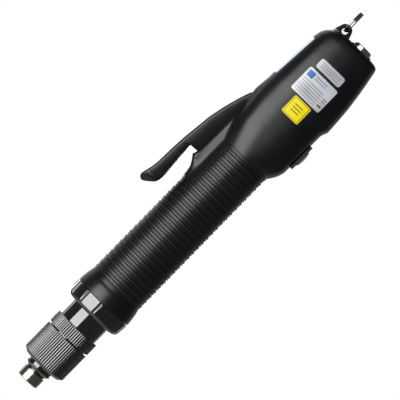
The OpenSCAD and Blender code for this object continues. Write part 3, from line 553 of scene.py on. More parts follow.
@dataclass(frozen=True)
class MouldedPlastic(Finish):
    """Injection moulded plastic, its grain left by the spark-eroded tool."""

    grain: float = 0.35
    grain_depth: float = 0.004
    ior: float = 1.5
    dust: str = "#3a3b40"
    dust_share: float = 0.12
    coat: float = 0.0

    def dress(self, tree: NodeTree, surface: Node, place: NodeSocket) -> None:
        """Adds the tool's grain, hand-polished patches and a little pale dust."""
        surface.inputs["IOR"].default_value = self.ior
        surface.inputs["Coat Weight"].default_value = self.coat
        patches = self.noise(tree, place, (14, 14, 22), 4)
        self.wander(tree, surface, patches)
        self.tint(tree, surface, self.noise(tree, place, (9, 9, 16), 5), self.dust, self.dust_share)
        if self.grain_depth:
            self.emboss(tree, surface, self.noise(tree, place, (self.grain,) * 3, 2), self.grain_depth)


@dataclass(frozen=True)
class WorkedMetal(Finish):
    """Metal whose marks run one way: turned, ground or drawn."""

    marks: tuple[float, float, float] = (40.0, 40.0, 0.12)
    mark_depth: float = 0.003
    tarnish: str = "#8d8f94"
    tarnish_share: float = 0.3

    def dress(self, tree: NodeTree, surface: Node, place: NodeSocket) -> None:
        """Adds tool marks and duller patches."""
        surface.inputs["Metallic"].default_value = 1.0
        lines = self.noise(tree, place, self.marks, 4)
        self.wander(tree, surface, lines)
        self.emboss(tree, surface, lines, self.mark_depth)
        self.tint(tree, surface, self.noise(tree, place, (5, 5, 7), 4), self.tarnish, self.tarnish_share)


@dataclass(frozen=True)
class PrintedBar:
    """A plain printed bar on a label: its corners in X and Z, and its colour."""

    left: float
    right: float
    low: float
    high: float
    colour: str


@dataclass(frozen=True)
class PrintedFilm(Finish):
    """Label film with plain printed bars, fine ruled lines and a painted sheen of lighter cloudy patches, and
    no lettering.
    """

    # colour of the painted sheen: the film's reflection, painted in as lighter patches
    painted_sheen: str = "#ffffff"
    metallic: float = 0.0
    bars: tuple[PrintedBar, ...] = ()
    rules: tuple[PrintedBar, ...] = ()
    rule_pitch: float = 1.6
    rule_share: float = 0.3

    def dress(self, tree: NodeTree, surface: Node, place: NodeSocket) -> None:
        """Adds the film's painted sheen, lighter cloudy patches that stand in for its reflection, and prints
        its bars, each bar one after the other.
        """
        surface.inputs["Metallic"].default_value = self.metallic
        cloud = self.noise(tree, place, (18, 18, 9), 2)
        self.wander(tree, surface, cloud)
        # painted sheen: the cloud mixes a lighter colour into the film, standing in for its reflection
        self.tint(tree, surface, cloud, self.painted_sheen, 0.7)
        colour = surface.inputs["Base Color"].links[0].from_socket
        split = add_node(tree, "ShaderNodeSeparateXYZ", {0: place})
        across, up = split.outputs["X"], split.outputs["Z"]
        lines = arithmetic(tree, "DIVIDE", up, self.rule_pitch * MM)
        ruled = arithmetic(tree, "LESS_THAN", arithmetic(tree, "FRACT", lines), self.rule_share)
        for bar, pattern in [*((bar, None) for bar in self.bars), *((bar, ruled) for bar in self.rules)]:
            mask = self.inside(tree, across, bar.left, bar.right)
            mask = arithmetic(tree, "MULTIPLY", mask, self.inside(tree, up, bar.low, bar.high))
            if pattern:
                mask = arithmetic(tree, "MULTIPLY", mask, pattern)
            mix = add_node(tree, "ShaderNodeMix", {"Factor": mask}, data_type="RGBA")
            tree.links.new(colour, mix.inputs["A"])
            mix.inputs["B"].default_value = linear(bar.colour)
            colour = mix.outputs["Result"]
        tree.links.new(colour, surface.inputs["Base Color"])

    def inside(self, tree: NodeTree, value: NodeSocket, low: float, high: float) -> NodeSocket:
        """Is 1 where a coordinate lies between two places in millimetres."""
        above = arithmetic(tree, "GREATER_THAN", value, low * MM)
        return arithmetic(tree, "MULTIPLY", above, arithmetic(tree, "LESS_THAN", value, high * MM))


# Satin black ABS: a tight spark-eroded grain breaks the softbox into a broad grey bloom.
HOUSING_ABS = MouldedPlastic("satin_black_abs", "#07080c", 0.33, 0.04, grain=0.45, grain_depth=0.0012,
                             dust_share=0.05)
# The grip is the same moulding, rubbed smoother by hands, so each ridge carries a brighter line.
GRIP_ABS = MouldedPlastic("rubbed_black_abs", "#06070a", 0.35, 0.05, grain=0.5, grain_depth=0.0004, ior=1.6,
                          dust_share=0.04)
# Hand-polished glass-filled nylon of the nose: deep black with hard-edged reflections.
NOSE_NYLON = MouldedPlastic("polished_black_nylon", "#07080b", 0.08, 0.03, grain_depth=0.0, ior=1.85,
                            dust_share=0.04,
                            coat=1.0)
# Black polyamide of the knurled nut and lock ring: crisp lines on each ridge.
NUT_NYLON = MouldedPlastic("knurled_black_nylon", "#08090c", 0.1, 0.03, grain_depth=0.0, ior=1.9,
                           dust_share=0.05,
                           coat=1.0)
# Lever of satin black ABS, worn a little by fingers.
LEVER_ABS = MouldedPlastic("worn_black_abs", "#08090d", 0.17, 0.04, grain=0.45, grain_depth=0.0008, ior=1.45,
                           dust_share=0.05)
# Matt black polycarbonate of the switch body.
SWITCH_PC = MouldedPlastic("matt_black_polycarbonate", "#1b1c20", 0.5, 0.05)
# Ivory nylon of the rocker, yellowed and rubbed by thumbs.
ROCKER_NYLON = MouldedPlastic("ivory_nylon", "#c9c6ae", 0.42, 0.06, dust="#8f8c72", dust_share=0.55)
# Red acetal of the plunger.
PLUNGER_ACETAL = MouldedPlastic("red_acetal", "#b5322a", 0.35)
# Dark blue polyester of the micro switch.
MICROSWITCH_PBT = MouldedPlastic("blue_polyester", "#1f2a3d", 0.45)
# Bright turned steel of the spindle, with rings from the lathe.
TURNED_STEEL = WorkedMetal("turned_tool_steel", "#b9b6ae", 0.2, 0.06, marks=(60, 60, 0.16), mark_depth=0.004,
                           tarnish="#80765f")
# Nickel plate over brass: near mirror, with soft clouding.
NICKEL = WorkedMetal("nickel_plate", "#c9c6be", 0.14, 0.05, marks=(3, 3, 3), mark_depth=0.001)
# Music wire, drawn and dull.
SPRING_STEEL = WorkedMetal("drawn_spring_steel", "#8f9196", 0.3, marks=(0.3, 0.3, 2.0))
# Hardened gear steel, ground to a fine grey.
GEAR_STEEL = WorkedMetal("ground_gear_steel", "#9b9da2", 0.28, marks=(2, 2, 0.2))
# Free-cutting brass, turned.
BRASS = WorkedMetal("turned_brass", "#b89b57", 0.25, marks=(50, 50, 0.2), tarnish="#7c6332")
# Cast zinc of the gear case, blasted.
DIE_CAST = WorkedMetal("blasted_zinc", "#85878c", 0.5, marks=(0.4, 0.4, 0.4), mark_depth=0.01)
# Stacked lamination edges.
LAMINATIONS = WorkedMetal("stacked_laminations", "#6f7177", 0.45, marks=(30, 30, 0.5), mark_depth=0.02)
# Enamelled copper wire, wound.
WINDINGS = WorkedMetal("enamelled_copper", "#a5602c", 0.35, marks=(20, 20, 0.4), mark_depth=0.06,
                       tarnish="#6e3a1a")
# Sintered magnet, dark and gritty.
MAGNET = WorkedMetal("sintered_magnet", "#4a4b50", 0.55, marks=(0.5, 0.5, 0.5))
# Black oxide on the steel lug.
BLACK_OXIDE = WorkedMetal("black_oxide_steel", "#26272a", 0.38, marks=(1.5, 1.5, 0.6), tarnish="#3c3a36")
# Green solder mask over glass-epoxy.
CIRCUIT_EPOXY = MouldedPlastic("green_solder_mask", "#1f6b3a", 0.3, grain=0.8, grain_depth=0.01,
                               dust="#2f8a50",
                               dust_share=0.6)
# Black epoxy of the chips and capacitors.
CHIP_EPOXY = MouldedPlastic("black_chip_epoxy", "#232427", 0.45)
# Silver polyester rating plate: foil under gloss film, with plain bars and rules, and a painted sheen of
# lighter patches.
PLATE_FILM = PrintedFilm(
    "silver_foil_film", "#b9bbc0", 0.3, 0.05, painted_sheen="#e4e5e8", metallic=0.15,
    bars=(PrintedBar(-7.7, -3.5, 230.8, 234.7, "#2c5fa8"), PrintedBar(8.4, 11.0, 222.3, 223.2, "#3c3d42")),
    rules=(PrintedBar(-7.6, 7.0, 221.0, 229.6, "#85878d"), PrintedBar(8.4, 11.0, 224.4, 228.0, "#6c6e74"),
           PrintedBar(-2.4, 5.6, 231.0, 234.6, "#5b7fae")))
# Small silver film plate, with a painted sheen of lighter patches.
SMALL_FILM = PrintedFilm("plain_silver_film", "#b0b2b7", 0.3, 0.05, painted_sheen="#dcdde0", metallic=0.15,
                         rules=(PrintedBar(-5.2, 8.4, 238.9, 242.4, "#8d8f95"),), rule_pitch=1.3)
# Yellow vinyl with a thin dark frame, and a painted sheen of lighter patches.
YELLOW_VINYL = PrintedFilm(
    "yellow_vinyl", "#efd90e", 0.35, 0.04, painted_sheen="#f7e83a",
    bars=(PrintedBar(-3.2, 7.6, 207.4, 207.7, "#3a3416"), PrintedBar(-3.2, 7.6, 217.8, 218.1, "#3a3416"),
          PrintedBar(-3.2, -2.9, 207.4, 218.1, "#3a3416"), PrintedBar(7.3, 7.6, 207.4, 218.1, "#3a3416")),
    rules=(PrintedBar(-0.6, 5.0, 209.6, 216.4, "#6d611c"),), rule_pitch=1.9)
# White vinyl of the side label, faintly blue, with a painted sheen of whiter patches.
WHITE_VINYL = PrintedFilm("white_vinyl", "#dde6f0", 0.35, 0.04, painted_sheen="#f2f4f7")

NODE_FINISHES: dict[str, Finish] = {node: look for look, nodes in (
    (TURNED_STEEL, "spindle"),
    (GEAR_STEEL, "bit_balls clutch_plate clutch_balls ring_gear carrier_1 carrier_2 planet_1a "
                 "planet_1b planet_1c planet_2a planet_2b planet_2c motor_shaft motor_bearings "
                 "lever_pin"),
    (NOSE_NYLON, "bit_collar clutch_tube nose_collar"),
    (SPRING_STEEL, "collar_spring collar_clip clutch_spring lever_spring"),
    (BRASS, "spring_seat spindle_bush sun_gear_1 connector_pins"),
    (DIE_CAST, "gear_case motor_flange"),
    (MAGNET, "rotor_magnet"),
    (LAMINATIONS, "stator_core motor_can"),
    (WINDINGS, "stator_coils"),
    (CIRCUIT_EPOXY, "circuit_board"),
    (CHIP_EPOXY, "board_parts"),
    (MICROSWITCH_PBT, "start_switch"),
    (PLUNGER_ACETAL, "switch_plunger"),
    (SWITCH_PC, "rocker_housing connector_insert"),
    (ROCKER_NYLON, "rocker"),
    (HOUSING_ABS, "end_cap housing_front housing_rear"),
    (BLACK_OXIDE, "hang_lug case_screws"),
    (NICKEL, "connector_shell connector_ring hang_ring"),
    (NUT_NYLON, "torque_nut lock_ring"),
    (LEVER_ABS, "lever"),
) for node in nodes.split()}


def finish(piece: Object, look: Finish, body: str, slot: str, *nodes: str) -> Object:
    """Gives a piece its material and body, and hides the CAD nodes that it stands for.

    Args:
        piece: the finished mesh object.
        look: its finish.
        body: the CAD body that it rides on.
        slot: the record's material slot; not used.
        nodes: the CAD nodes that it stands for.

    Returns:
        The piece.
    """
    if not piece.data.materials:
        piece.data.materials.append(look.material())
    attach(piece, body)
    if nodes:
        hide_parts(*nodes)
    LOG.info("%s: %d faces, %s", piece.name, len(piece.data.polygons), look.name)
    return piece


def dress_nodes(nodes: dict[str, Object]) -> None:
    """Assigns each CAD node's finish to its material slots."""
    for name, node in nodes.items():
        material = NODE_FINISHES[name].material()
        if not node.material_slots:
            node.data.materials.append(material)
        for slot in node.material_slots:
            slot.material = material
    LOG.info("%d nodes of the frame take their finishes", len(nodes))


# --- housing
@dataclass(frozen=True)
class HousingForm:
    """Outer and inner form of the moulded clamshell, by height and by angle from +X."""

    grip_r: float = 17.5
    grip_bore_r: float = 15.0
    rib_depth: float = 0.55
    rib_z: float = 71.4
    rib_pitch: float = 3.82
    rib_pairs: int = 27
    saddle_z: float = 143.0
    saddle_half: float = 51.0
    wall: float = 2.4
    boss_w: float = 17.6
    seam_z: float = 259.8
    neck: Table = ((61.3, 18.5), (61.7, 18.8), (64.9, 18.5), (69.3, 17.9), (69.8, 17.6), (71.2, 17.5))
    right: Table = ((172.5, 16.8), (174.54, 17.6), (178, 20), (181, 21.4), (184, 22.2), (213, 22.4),
                    (217, 24),
                    (224, 23.6), (233, 23.1), (242, 22), (251, 20.6), (260, 18.9), (261, 18.3), (262, 16.8))
    left: Table = ((172.5, 16.8), (174.54, 17.6), (183, 19), (190, 20.4), (205, 21.8), (219.5, 21.8),
                   (250, 19.9),
                   (253, 19.3), (255, 18.7), (256.5, 17.9), (258, 16.8), (259.2, 15.4), (259.8, 14.7),
                   (262, 14))
    depth: Table = ((172.5, 16.8), (174.54, 17.6), (182, 18.3), (192, 19.4), (205, 20), (222, 20),
                    (242, 19.2),
                    (256, 18), (260, 17.2), (261.5, 14.8), (262, 14))
    square: Table = ((174.54, 2), (190, 2.7), (262, 2.7))
    boss: Table = ((141, 13), (144.5, 16.8), (148.4, 17.6), (150.4, 18.5), (152.4, 19.8), (154.4, 21.3),
                   (156, 22.3), (157.5, 22.1), (160, 21.2), (165, 21), (208, 21), (214, 19), (220, 14),
                   (226, 8))
    side_ease: float = 0.8
    depth_ease: float = 1.2
    neck_ease: float = 0.25
    boss_ease: float = 0.5
    boss_power: int = 7
    blend_power: int = 13
    saddle_fill: float = 0.3
    side_label_z: tuple[float, float] = (219.8, 249.6)
    side_label_y: float = 11.0
    side_label_sink: float = 0.35

    @property
    def rib_top(self) -> float:
        """Height where the ribs end and the head begins."""
        return self.rib_z + self.rib_pairs * self.rib_pitch

    def oval(self, z: float, left: bool) -> tuple[float, float, float]:
        """Half width on one side, half depth and squareness of the head at a height."""
        side = eased(self.left if left else self.right, z, self.side_ease)
        return side, eased(self.depth, z, self.depth_ease), lookup(self.square, z)

    def head(self, angle: float, z: float) -> float:
        """Radius of the head's squared oval at an angle in radians."""
        cos, sin = math.cos(angle), math.sin(angle)
        side, deep, power = self.oval(z, cos < 0)
        return (abs(cos / side) ** power + abs(sin / deep) ** power) ** (-1 / power)

    def base(self, angle: float, z: float) -> float:
        """Radius of the shell without the lever's boss."""
        if z < self.rib_z - 0.1:
            return eased(self.neck, z, self.neck_ease)
        if z > self.rib_top - 0.6:
            return self.head(angle, z)
        turn = abs(math.degrees(angle) % 360 - 180)
        rise = self.saddle_fill * smooth_step(self.saddle_z - 0.4, self.saddle_z + 0.4, z)
        fade = 1 - smooth_step(self.saddle_half - 1, self.saddle_half, turn)
        return self.grip_r - self.rib_depth + rise * fade

    def outer(self, angle: float, z: float) -> float:
        """Radius of the shell's outside at an angle in radians."""
        radius = self.base(angle, z)
        cos, sin = math.cos(angle), math.sin(angle)
        if cos < -0.1 and z > self.boss[0][0]:
            reach, power, blend = eased(self.boss, z, self.boss_ease), self.boss_power, self.blend_power
            rise = (abs(cos / reach) ** power + abs(sin / (self.boss_w / 2)) ** power) ** (-1 / power)
            radius = (radius ** blend + rise ** blend) ** (1 / blend)
        low, high = self.side_label_z
        if cos < 0 and low < z < high and abs(radius * sin) < self.side_label_y:
            radius -= self.side_label_sink
        return radius

    def inner(self, angle: float, z: float) -> float:
        """Radius of the hollow inside."""
        if z < self.rib_top + 2:
            return self.grip_bore_r
        return self.head(angle, z) - self.wall

    def front(self, x: float, z: float, lift: float = 0.0) -> Vector:
        """Point on the head's -Y face at an X, raised off it."""
        side, deep, power = self.oval(z, x < 0)
        return Vector((x, -deep * (1 - abs(x / side) ** power) ** (1 / power) - lift, z))

    def flank(self, y: float, z: float, lift: float = 0.0) -> Vector:
        """Point on the head's -X face at a Y, raised off it."""
        side, deep, power = self.oval(z, True)
        return Vector((-side * (1 - abs(y / deep) ** power) ** (1 / power) - lift, y, z))


@dataclass
class Housing:
    """The two moulded halves, their lever slot, windows and screw wells."""

    form: HousingForm
    spigot_r: float = 16.4
    spigot_z: float = 58.1
    parting: float = 0.06
    parting_bevel: float = 0.22
    slot_w: float = 13.6
    slot_wall: float = 2.0
    slot_floor_x: float = 15.0
    slot_z: tuple[float, float] = (156.5, 205.6)
    rocker_window: tuple[float, float, float] = (10.2, 189.9, 203.1)
    screw_places: tuple[tuple[float, float], ...] = ((-13, 213), (14.5, 213), (-12.5, 246), (15, 240))
    screw_well_r: float = 3.0
    screw_seat_y: float = 12.0
    screw_pass_r: float = 1.65
    screw_core_r: float = 1.51
    post_wall: float = 0.35
    post_len: tuple[float, float] = (12.5, 13.5)
    slot_outer_x: float = 19.5
    plunger_hole_r: float = 2.06
    spring_seat_r: float = 3.0
    spring_seat_depth: float = 0.7
    pin_hole_r: float = 1.55
    neck_z: float = 61.3
    seam_trim: float = 0.3

    def angles(self) -> list[float]:
        """Angles of one half's columns from -X, in degrees, close together round the boss and label."""
        fine = [0, 4, 8, 12, 15, 17, 18.5, 19.5, 20.5, 21.5, 22.5, 23.5, 24.5, 25.5, 27, 28.5, 30, 31.5, 33,
                35.5,
                38, 41, 44.5, 48, 50, 51, 53]
        return fine + spread(56.5, 180, 36)

    def levels(self) -> list[float]:
        """Heights of the rows, close together where the form turns."""
        form = self.form
        low = [self.spigot_z, 61.25, 61.3, 61.45, 61.7, 62.5, 64.9, 67, 69.3, 69.6, 69.8, 71.2, 71.35]
        grip = spread(75, 141, 5) + [142.6, 143, 143.4] + spread(144, 158, 25)
        grip += [159, 160, 162, 165, 170, 173.6]
        head = [form.rib_top - 0.7, form.rib_top - 0.55, form.rib_top]
        head += spread(175.2, 184, 9) + spread(186, 210, 13)
        step = spread(212, 218.6, 12) + [219.7, 219.9] + spread(222, 248, 14) + [249.5, 249.7]
        cap = spread(250.6, 259, 13) + [form.seam_z - 0.35, form.seam_z]
        return low + grip + head + step + cap

    def half(self, side: int) -> Object:
        """Builds one half as a closed shell; side is -1 for the -Y half and 1 for the +Y half."""
        form, skin, shells = self.form, Skin(), []
        for which in (form.outer, form.inner):
            outside, rows = which == form.outer, []
            for z in self.levels():
                trim = self.seam_trim if outside and z == form.seam_z else 0.0
                row = []
                for from_left in self.angles():
                    angle = math.pi + side * -math.radians(from_left)
                    radius = self.spigot_r if outside and z < self.neck_z else which(angle, z) - trim
                    row.append(Vector((radius * math.cos(angle), radius * math.sin(angle), z)))
                for end in (0, -1):
                    row[end].y = side * self.parting / 2
                if outside:
                    for end, inward in ((0, 1), (-1, -1)):
                        edge = row[end].copy()
                        edge.y = side * self.parting_bevel
                        row[end].x += inward * self.parting_bevel
                        row.insert(1 if end == 0 else len(row) - 1, edge)
                else:
                    row.insert(1, row[0].lerp(row[1], 0.2))
                    row.insert(len(row) - 1, row[-1].lerp(row[-2], 0.2))
                rows.append(row)
            shells.append(skin.grid(rows))
        skin.rim(*shells)
        return skin.build("housing_half")

    def linings(self, side: int) -> list[Object]:
        """Walls of the lever slot and the screw posts of one half, to be added to the shell."""
        near, far = sorted((side * self.parting / 2, side * (self.slot_w / 2 + self.slot_wall)))
        (low, high), wall = self.slot_z, self.slot_wall
        pieces = [block((-self.slot_outer_x, near, low - wall), (wall - self.slot_floor_x, far, high + wall))]
        for x, z in self.screw_places:
            pieces.append(rod((x, side * self.parting / 2, z), (x, side * self.post_len[side > 0], z),
                              self.screw_well_r + self.post_wall))
        return pieces

    def openings(self, side: int) -> list[Object]:
        """Tools for the slot, the pin, the plunger, the switch window and the screws of one half."""
        window_w, window_low, window_high = self.rocker_window
        low, high = self.slot_z
        pin, plunger, spring = (Place.of(node).middle() for node in ("lever_pin", "switch_plunger",
                                                                     "lever_spring"))
        floor = -self.slot_floor_x
        tools = [block((-40, -self.slot_w / 2, low), (floor, self.slot_w / 2, high)),
                 block((10, -window_w / 2, window_low), (30, window_w / 2, window_high)),
                 rod((floor - 1, 0, plunger.z), (floor + self.slot_wall + 1, 0, plunger.z),
                     self.plunger_hole_r),
                 rod((floor - 1, 0, spring.z), (floor + self.spring_seat_depth, 0, spring.z),
                     self.spring_seat_r),
                 rod((pin.x, -8, pin.z), (pin.x, 8, pin.z), self.pin_hole_r)]
        for x, z in self.screw_places:
            if side > 0:
                tools.append(rod((x, self.screw_seat_y, z), (x, 30, z), self.screw_well_r))
                tools.append(rod((x, -1, z), (x, self.screw_seat_y + 1, z), self.screw_pass_r))
            else:
                tools.append(rod((x, -8, z), (x, 1, z), self.screw_core_r))
        return tools

    def dress(self) -> None:
        """Makes both halves and puts them in the frame."""
        for side, node in ((-1, "housing_front"), (1, "housing_rear")):
            shell = carved(self.half(side), self.linings(side), add=True)
            shell = carved(shell, self.openings(side))
            shell.name = "clamshell_front" if side < 0 else "clamshell_rear"
            finish(shell, HOUSING_ABS, "housing", "black_gloss", node)


@dataclass
class GripRidges:
    """The ribbed grip: in each period a wide round-backed ridge and a narrow one."""

    form: HousingForm
    wide_half: float = 1.12
    wide_depth: float = 0.75
    narrow_half: float = 0.42
    narrow_depth: float = 0.55
    narrow_rise: float = 0.8
    wide_rise: float = 2.52
    tip: float = 0.03
    seam_turn: float = 0.15
    steps: int = 48

    def dress(self) -> None:
        """Stacks full ridges below the saddle and shorter ones beside it, on both halves."""
        form, tree, parts = self.form, RidgeStack(), []
        heights = [form.rib_z + i * form.rib_pitch + self.wide_rise for i in range(form.rib_pairs)]
        below = sum(1 for height in heights if height < form.saddle_z)
        stacks = ((0, below, self.seam_turn, 0.0), (below, form.rib_pairs - below, form.saddle_half,
                                                    self.tip))
        for rise, half, deep in ((self.narrow_rise, self.narrow_half, self.narrow_depth),
                                 (self.wide_rise, self.wide_half, self.wide_depth)):
            for (first, count, start, tip), side in ((stack, side) for stack in stacks for side in (-1, 1)):
                parts.append(tree.make("ridges", {
                    "Radius": (form.grip_r - deep) * MM, "Half Width": half * MM, "Depth": deep * MM,
                    "First Height": (form.rib_z + first * form.rib_pitch + rise) * MM,
                    "Pitch": form.rib_pitch * MM, "Count": count, "Steps": self.steps,
                    "Start Angle": math.radians(180 - side * start),
                    "Sweep Angle": -side * math.radians(180 - start - self.seam_turn),
                    "Tip": tip}, GRIP_ABS.material()))
        finish(joined("grip_ridges", parts), GRIP_ABS, "housing", "black_gloss")


# --- nose
@dataclass
class NoseCollar:
    """Screwed collar of the nose, with shallow flats for a wrench."""

    flats: int = 6
    flat_turn: float = -16.0
    flat_half: float = 18.0
    flat_depth: float = 0.6
    edge: float = 3.2
    throat_r: float = 12.85
    columns: int = 480

    def dress(self) -> None:
        """Turns the collar, its radius stepping in over each flat."""
        place = Place.of("nose_collar")
        low, high, radius = place.low.z, place.high.z, place.high.x
        bore, recess = Place.of("clutch_tube").high.x + 0.35, low + 4 - 0.1
        outline = rounded([(self.throat_r, low, 0.3), (radius - 0.6, low, self.edge),
                           (radius - 0.3, low + 4.2, 1.5),
                           (radius, low + 6.6, 2.0), (radius, high, 0.35), (bore, high, 0.2),
                           (bore, recess, 0), (self.throat_r, recess, 0)], 8)
        dense: list[tuple[float, float]] = []
        for (r0, z0), (r1, z1) in zip(outline, outline[1:] + outline[:1]):
            steps = max(1, int(abs(z1 - z0) / 0.5)) if min(r0, r1) > radius - 1.2 else 1
            dense.extend((r0 + (r1 - r0) * k / steps, z0 + (z1 - z0) * k / steps) for k in range(steps))

        def reach(r: float, z: float, turn: float) -> float:
            """Steps in over the flats, with a soft bevel at their edges."""
            if r < radius - 3.5:
                return r
            off = (turn + 90 - self.flat_turn + 180 / self.flats) % (360 / self.flats) - 180 / self.flats
            across = 1 - smooth_step(self.flat_half - 0.9, self.flat_half + 0.9, abs(off))
            up = smooth_step(low + 1.9, low + 2.9, z)
            return min(r, radius - self.flat_depth * across * up)

        skin = Skin()
        skin.revolve(dense, self.columns, reach)
        finish(skin.build("nose_collar_dressed", 50), NOSE_NYLON, "housing", "black_gloss", "nose_collar")


@dataclass
class KnurledRing:
    """A ring with straight ridges all round, made from one wedge."""

    name: str
    node: str
    body: str
    slot: str
    bore_r: float
    low_bevel: float
    top_bevel: float
    floor: float = 0.0
    mouth_r: float = 0.0
    ridges: int = 60
    ridge_turn: float = 42.0
    columns: int = 13

    def wedge(self) -> Object:
        """Builds one ridge's share of the ring, open on its two cut faces."""
        place = Place.of(self.node)
        low, high, radius = place.low.z, place.high.z, place.high.x
        corners = [(radius - self.low_bevel, low, 0.3), (radius + 0.1, low + 0.85 * self.low_bevel, 0.4),
                   (radius + 0.1, high - self.top_bevel, 0.15), (radius - self.top_bevel, high, 0.12)]
        if self.floor:
            corners += [(self.bore_r, high, 0.1), (self.bore_r, low + self.floor, 0),
                        (self.mouth_r, low + self.floor, 0), (self.mouth_r, low, 0.3)]
        else:
            corners += [(self.bore_r, high, 0.1), (self.bore_r, low, 0.1)]
        outline, rows = rounded(corners), []
        half = math.pi * radius / self.ridges
        back = half / math.sin(math.radians(self.ridge_turn))
        for share in spread(-0.5, 0.5, self.columns):
            ridge = radius - back + math.sqrt(back ** 2 - (2 * share * half) ** 2)
            angle = 2 * math.pi * share / self.ridges
            reaches = [(min(r, ridge) if r > radius - 3 else r, z) for r, z in outline]
            rows.append([Vector((r * math.cos(angle), r * math.sin(angle), z)) for r, z in reaches])
        skin = Skin()
        skin.grid(rows, across=True)
        return skin.build("wedge")

    def dress(self, tree: RingOfSectors) -> None:
        """Repeats the wedge round the axis and puts the ring in the frame."""
        wedge = self.wedge()
        ring = tree.make(self.name, {"Wedge": wedge, "Count": self.ridges}, NUT_NYLON.material())
        bpy.data.objects.remove(wedge)
        finish(ring, NUT_NYLON, self.body, self.slot, self.node)


# --- lever
@dataclass
class Lever:
    """Squeeze lever: a slim arm in the slot and a rounded paddle at its free end."""

    width: float = 13.0
    tip_z: float = 125.4
    edge: float = 1.5
    edge_share: float = 0.42
    wall: float = 2.0
    hollow_z: tuple[float, float] = (136, 155)
    thick_z: float = 150.0
    pin_hole_r: float = 1.56
    spring_seat_r: float = 3.0
    outer: Table = ((125.4, 33.6), (126.6, 34.9), (127.8, 35.2), (130, 34.8), (132.2, 34.2), (134.5, 33.6),
                    (139, 33),
                    (150, 32.6), (159, 32), (168, 31), (177, 30), (186, 28.1), (195, 25.6), (199.5, 24.1),
                    (202.5, 23),
                    (204.6, 21.6))
    inner: Table = ((125.4, 31.8), (126.6, 30), (127.8, 28.4), (130, 26), (132.2, 25.2), (134.5, 24.9),
                    (139, 25.3),
                    (150, 26.2), (158.2, 26.4), (158.6, 19), (198, 19), (199.5, 15.9), (202.5, 15.9),
                    (204.6, 17.4))

    def ring(self, z: float) -> list[Vector]:
        """Section at a height: a block with its outer edges well rounded and its inner ones eased."""
        out, inn = eased(self.outer, z, 0.5), lookup(self.inner, z)
        half = self.width / 2 * min(1.0, 0.42 + 0.58 * math.sqrt(max(0.0, min(1.0, (z - self.tip_z) / 6))))
        edge = min(self.edge, self.edge_share * (out - inn))
        section = rounded([(-inn, half, edge * 0.3), (-out, half, edge),
                           (-out, -half, edge), (-inn, -half, edge * 0.3)], 6)
        return [Vector((x, y, z)) for x, y in section]

    def dress(self) -> None:
        """Lofts the lever and cuts its pin hole, its hollow paddle and the spring's seat."""
        skin = Skin()
        levels = (spread(self.tip_z, 134.5, 22) + spread(136, 157.6, 16) + [158.2, 158.6, 159.2]
                  + spread(161, 197.5, 24) + spread(198, 204.6, 18))
        skin.loft([self.ring(z) for z in levels])
        lever = skin.build("lever_dressed")
        pin, spring = Place.of("lever_pin").middle(), Place.of("lever_spring").middle()
        hollow = lookup(self.outer, self.thick_z) - self.edge - self.wall
        half, (low, high) = self.width / 2 - self.wall, self.hollow_z
        tools = [rod((pin.x, -9, pin.z), (pin.x, 9, pin.z), self.pin_hole_r),
                 block((-hollow, -half, low), (pin.x, half, high)),
                 rod((pin.x - 2, 0, spring.z), (pin.x + 1, 0, spring.z), self.spring_seat_r)]
        finish(carved(lever, tools), LEVER_ABS, "lever", "black_gloss", "lever")


# --- top end
@dataclass
class SplitRing:
    """Split ring of two coils side by side, wound as a short helix."""

    wire: float = 1.4
    turns: float = 1.94
    steps: int = 220
    sides: int = 20

    def dress(self) -> None:
        """Winds the ring where the frame puts it and rounds its two ends."""
        place = Place.of("hang_ring")
        centre, mean = place.middle(), (place.high.z - place.low.z) / 2 - self.wire / 2
        shift = place.high.x - place.low.x - self.wire
        rings = []
        for i in range(self.steps + 1):
            share = i / self.steps
            angle = 2 * math.pi * self.turns * share + math.radians(-80)
            close = min(share, 1 - share) * self.steps / 3
            wire = self.wire / 2 * math.sqrt(max(0.02, 1 - max(0.0, 1 - close) ** 2))
            x = centre.x + shift * (smooth_step(0.38, 0.62, share) - 0.5)
            axis = Vector((0, math.cos(angle), math.sin(angle)))
            middle = Vector((x, centre.y, centre.z)) + axis * mean
            rings.append([middle + axis * wire * math.cos(b) + Vector((1, 0, 0)) * wire * math.sin(b)
                          for b in around(self.sides)])
        skin = Skin()
        skin.loft(rings)
        finish(skin.build("split_ring", 60), NICKEL, "ring", "nickel", "hang_ring")


@dataclass
class CoilSpring:
    """A wound wire spring, which on the tool shortens with its joint."""

    node: str
    body: str
    joint: str
    travel: float
    wire: float
    coils: float
    along_x: bool = False
    steps: int = 26
    sides: int = 12

    def dress(self) -> None:
        """Winds the spring in its node's box."""
        place = Place.of(self.node)
        low, high, centre = place.low, place.high, place.middle()
        start, end = (low.x, high.x) if self.along_x else (low.z, high.z)
        wide = (high.z - low.z if self.along_x else high.x - low.x) / 2
        count, rings = int(self.steps * self.coils), []
        for i in range(count + 1):
            share = i / count
            angle = 2 * math.pi * self.coils * share
            height = self.wire / 2 + (end - start - self.wire) * share
            out = Vector((math.cos(angle), math.sin(angle), 0))
            middle = out * (wide - self.wire / 2) + Vector((0, 0, height))
            rings.append([middle + (out * math.cos(b) + Vector((0, 0, 1)) * math.sin(b)) * self.wire / 2
                          for b in around(self.sides)])
        foot = Vector((start, centre.y, centre.z)) if self.along_x else Vector((centre.x, centre.y, start))
        if self.along_x:
            rings = [[Vector((point.z, point.y, -point.x)) for point in ring] for ring in rings]
        skin = Skin()
        skin.loft([[point + foot for point in ring] for ring in rings])
        spring = finish(skin.build(f"{self.node}_wound"), SPRING_STEEL, self.body, "spring_steel", self.node)
        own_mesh(spring)


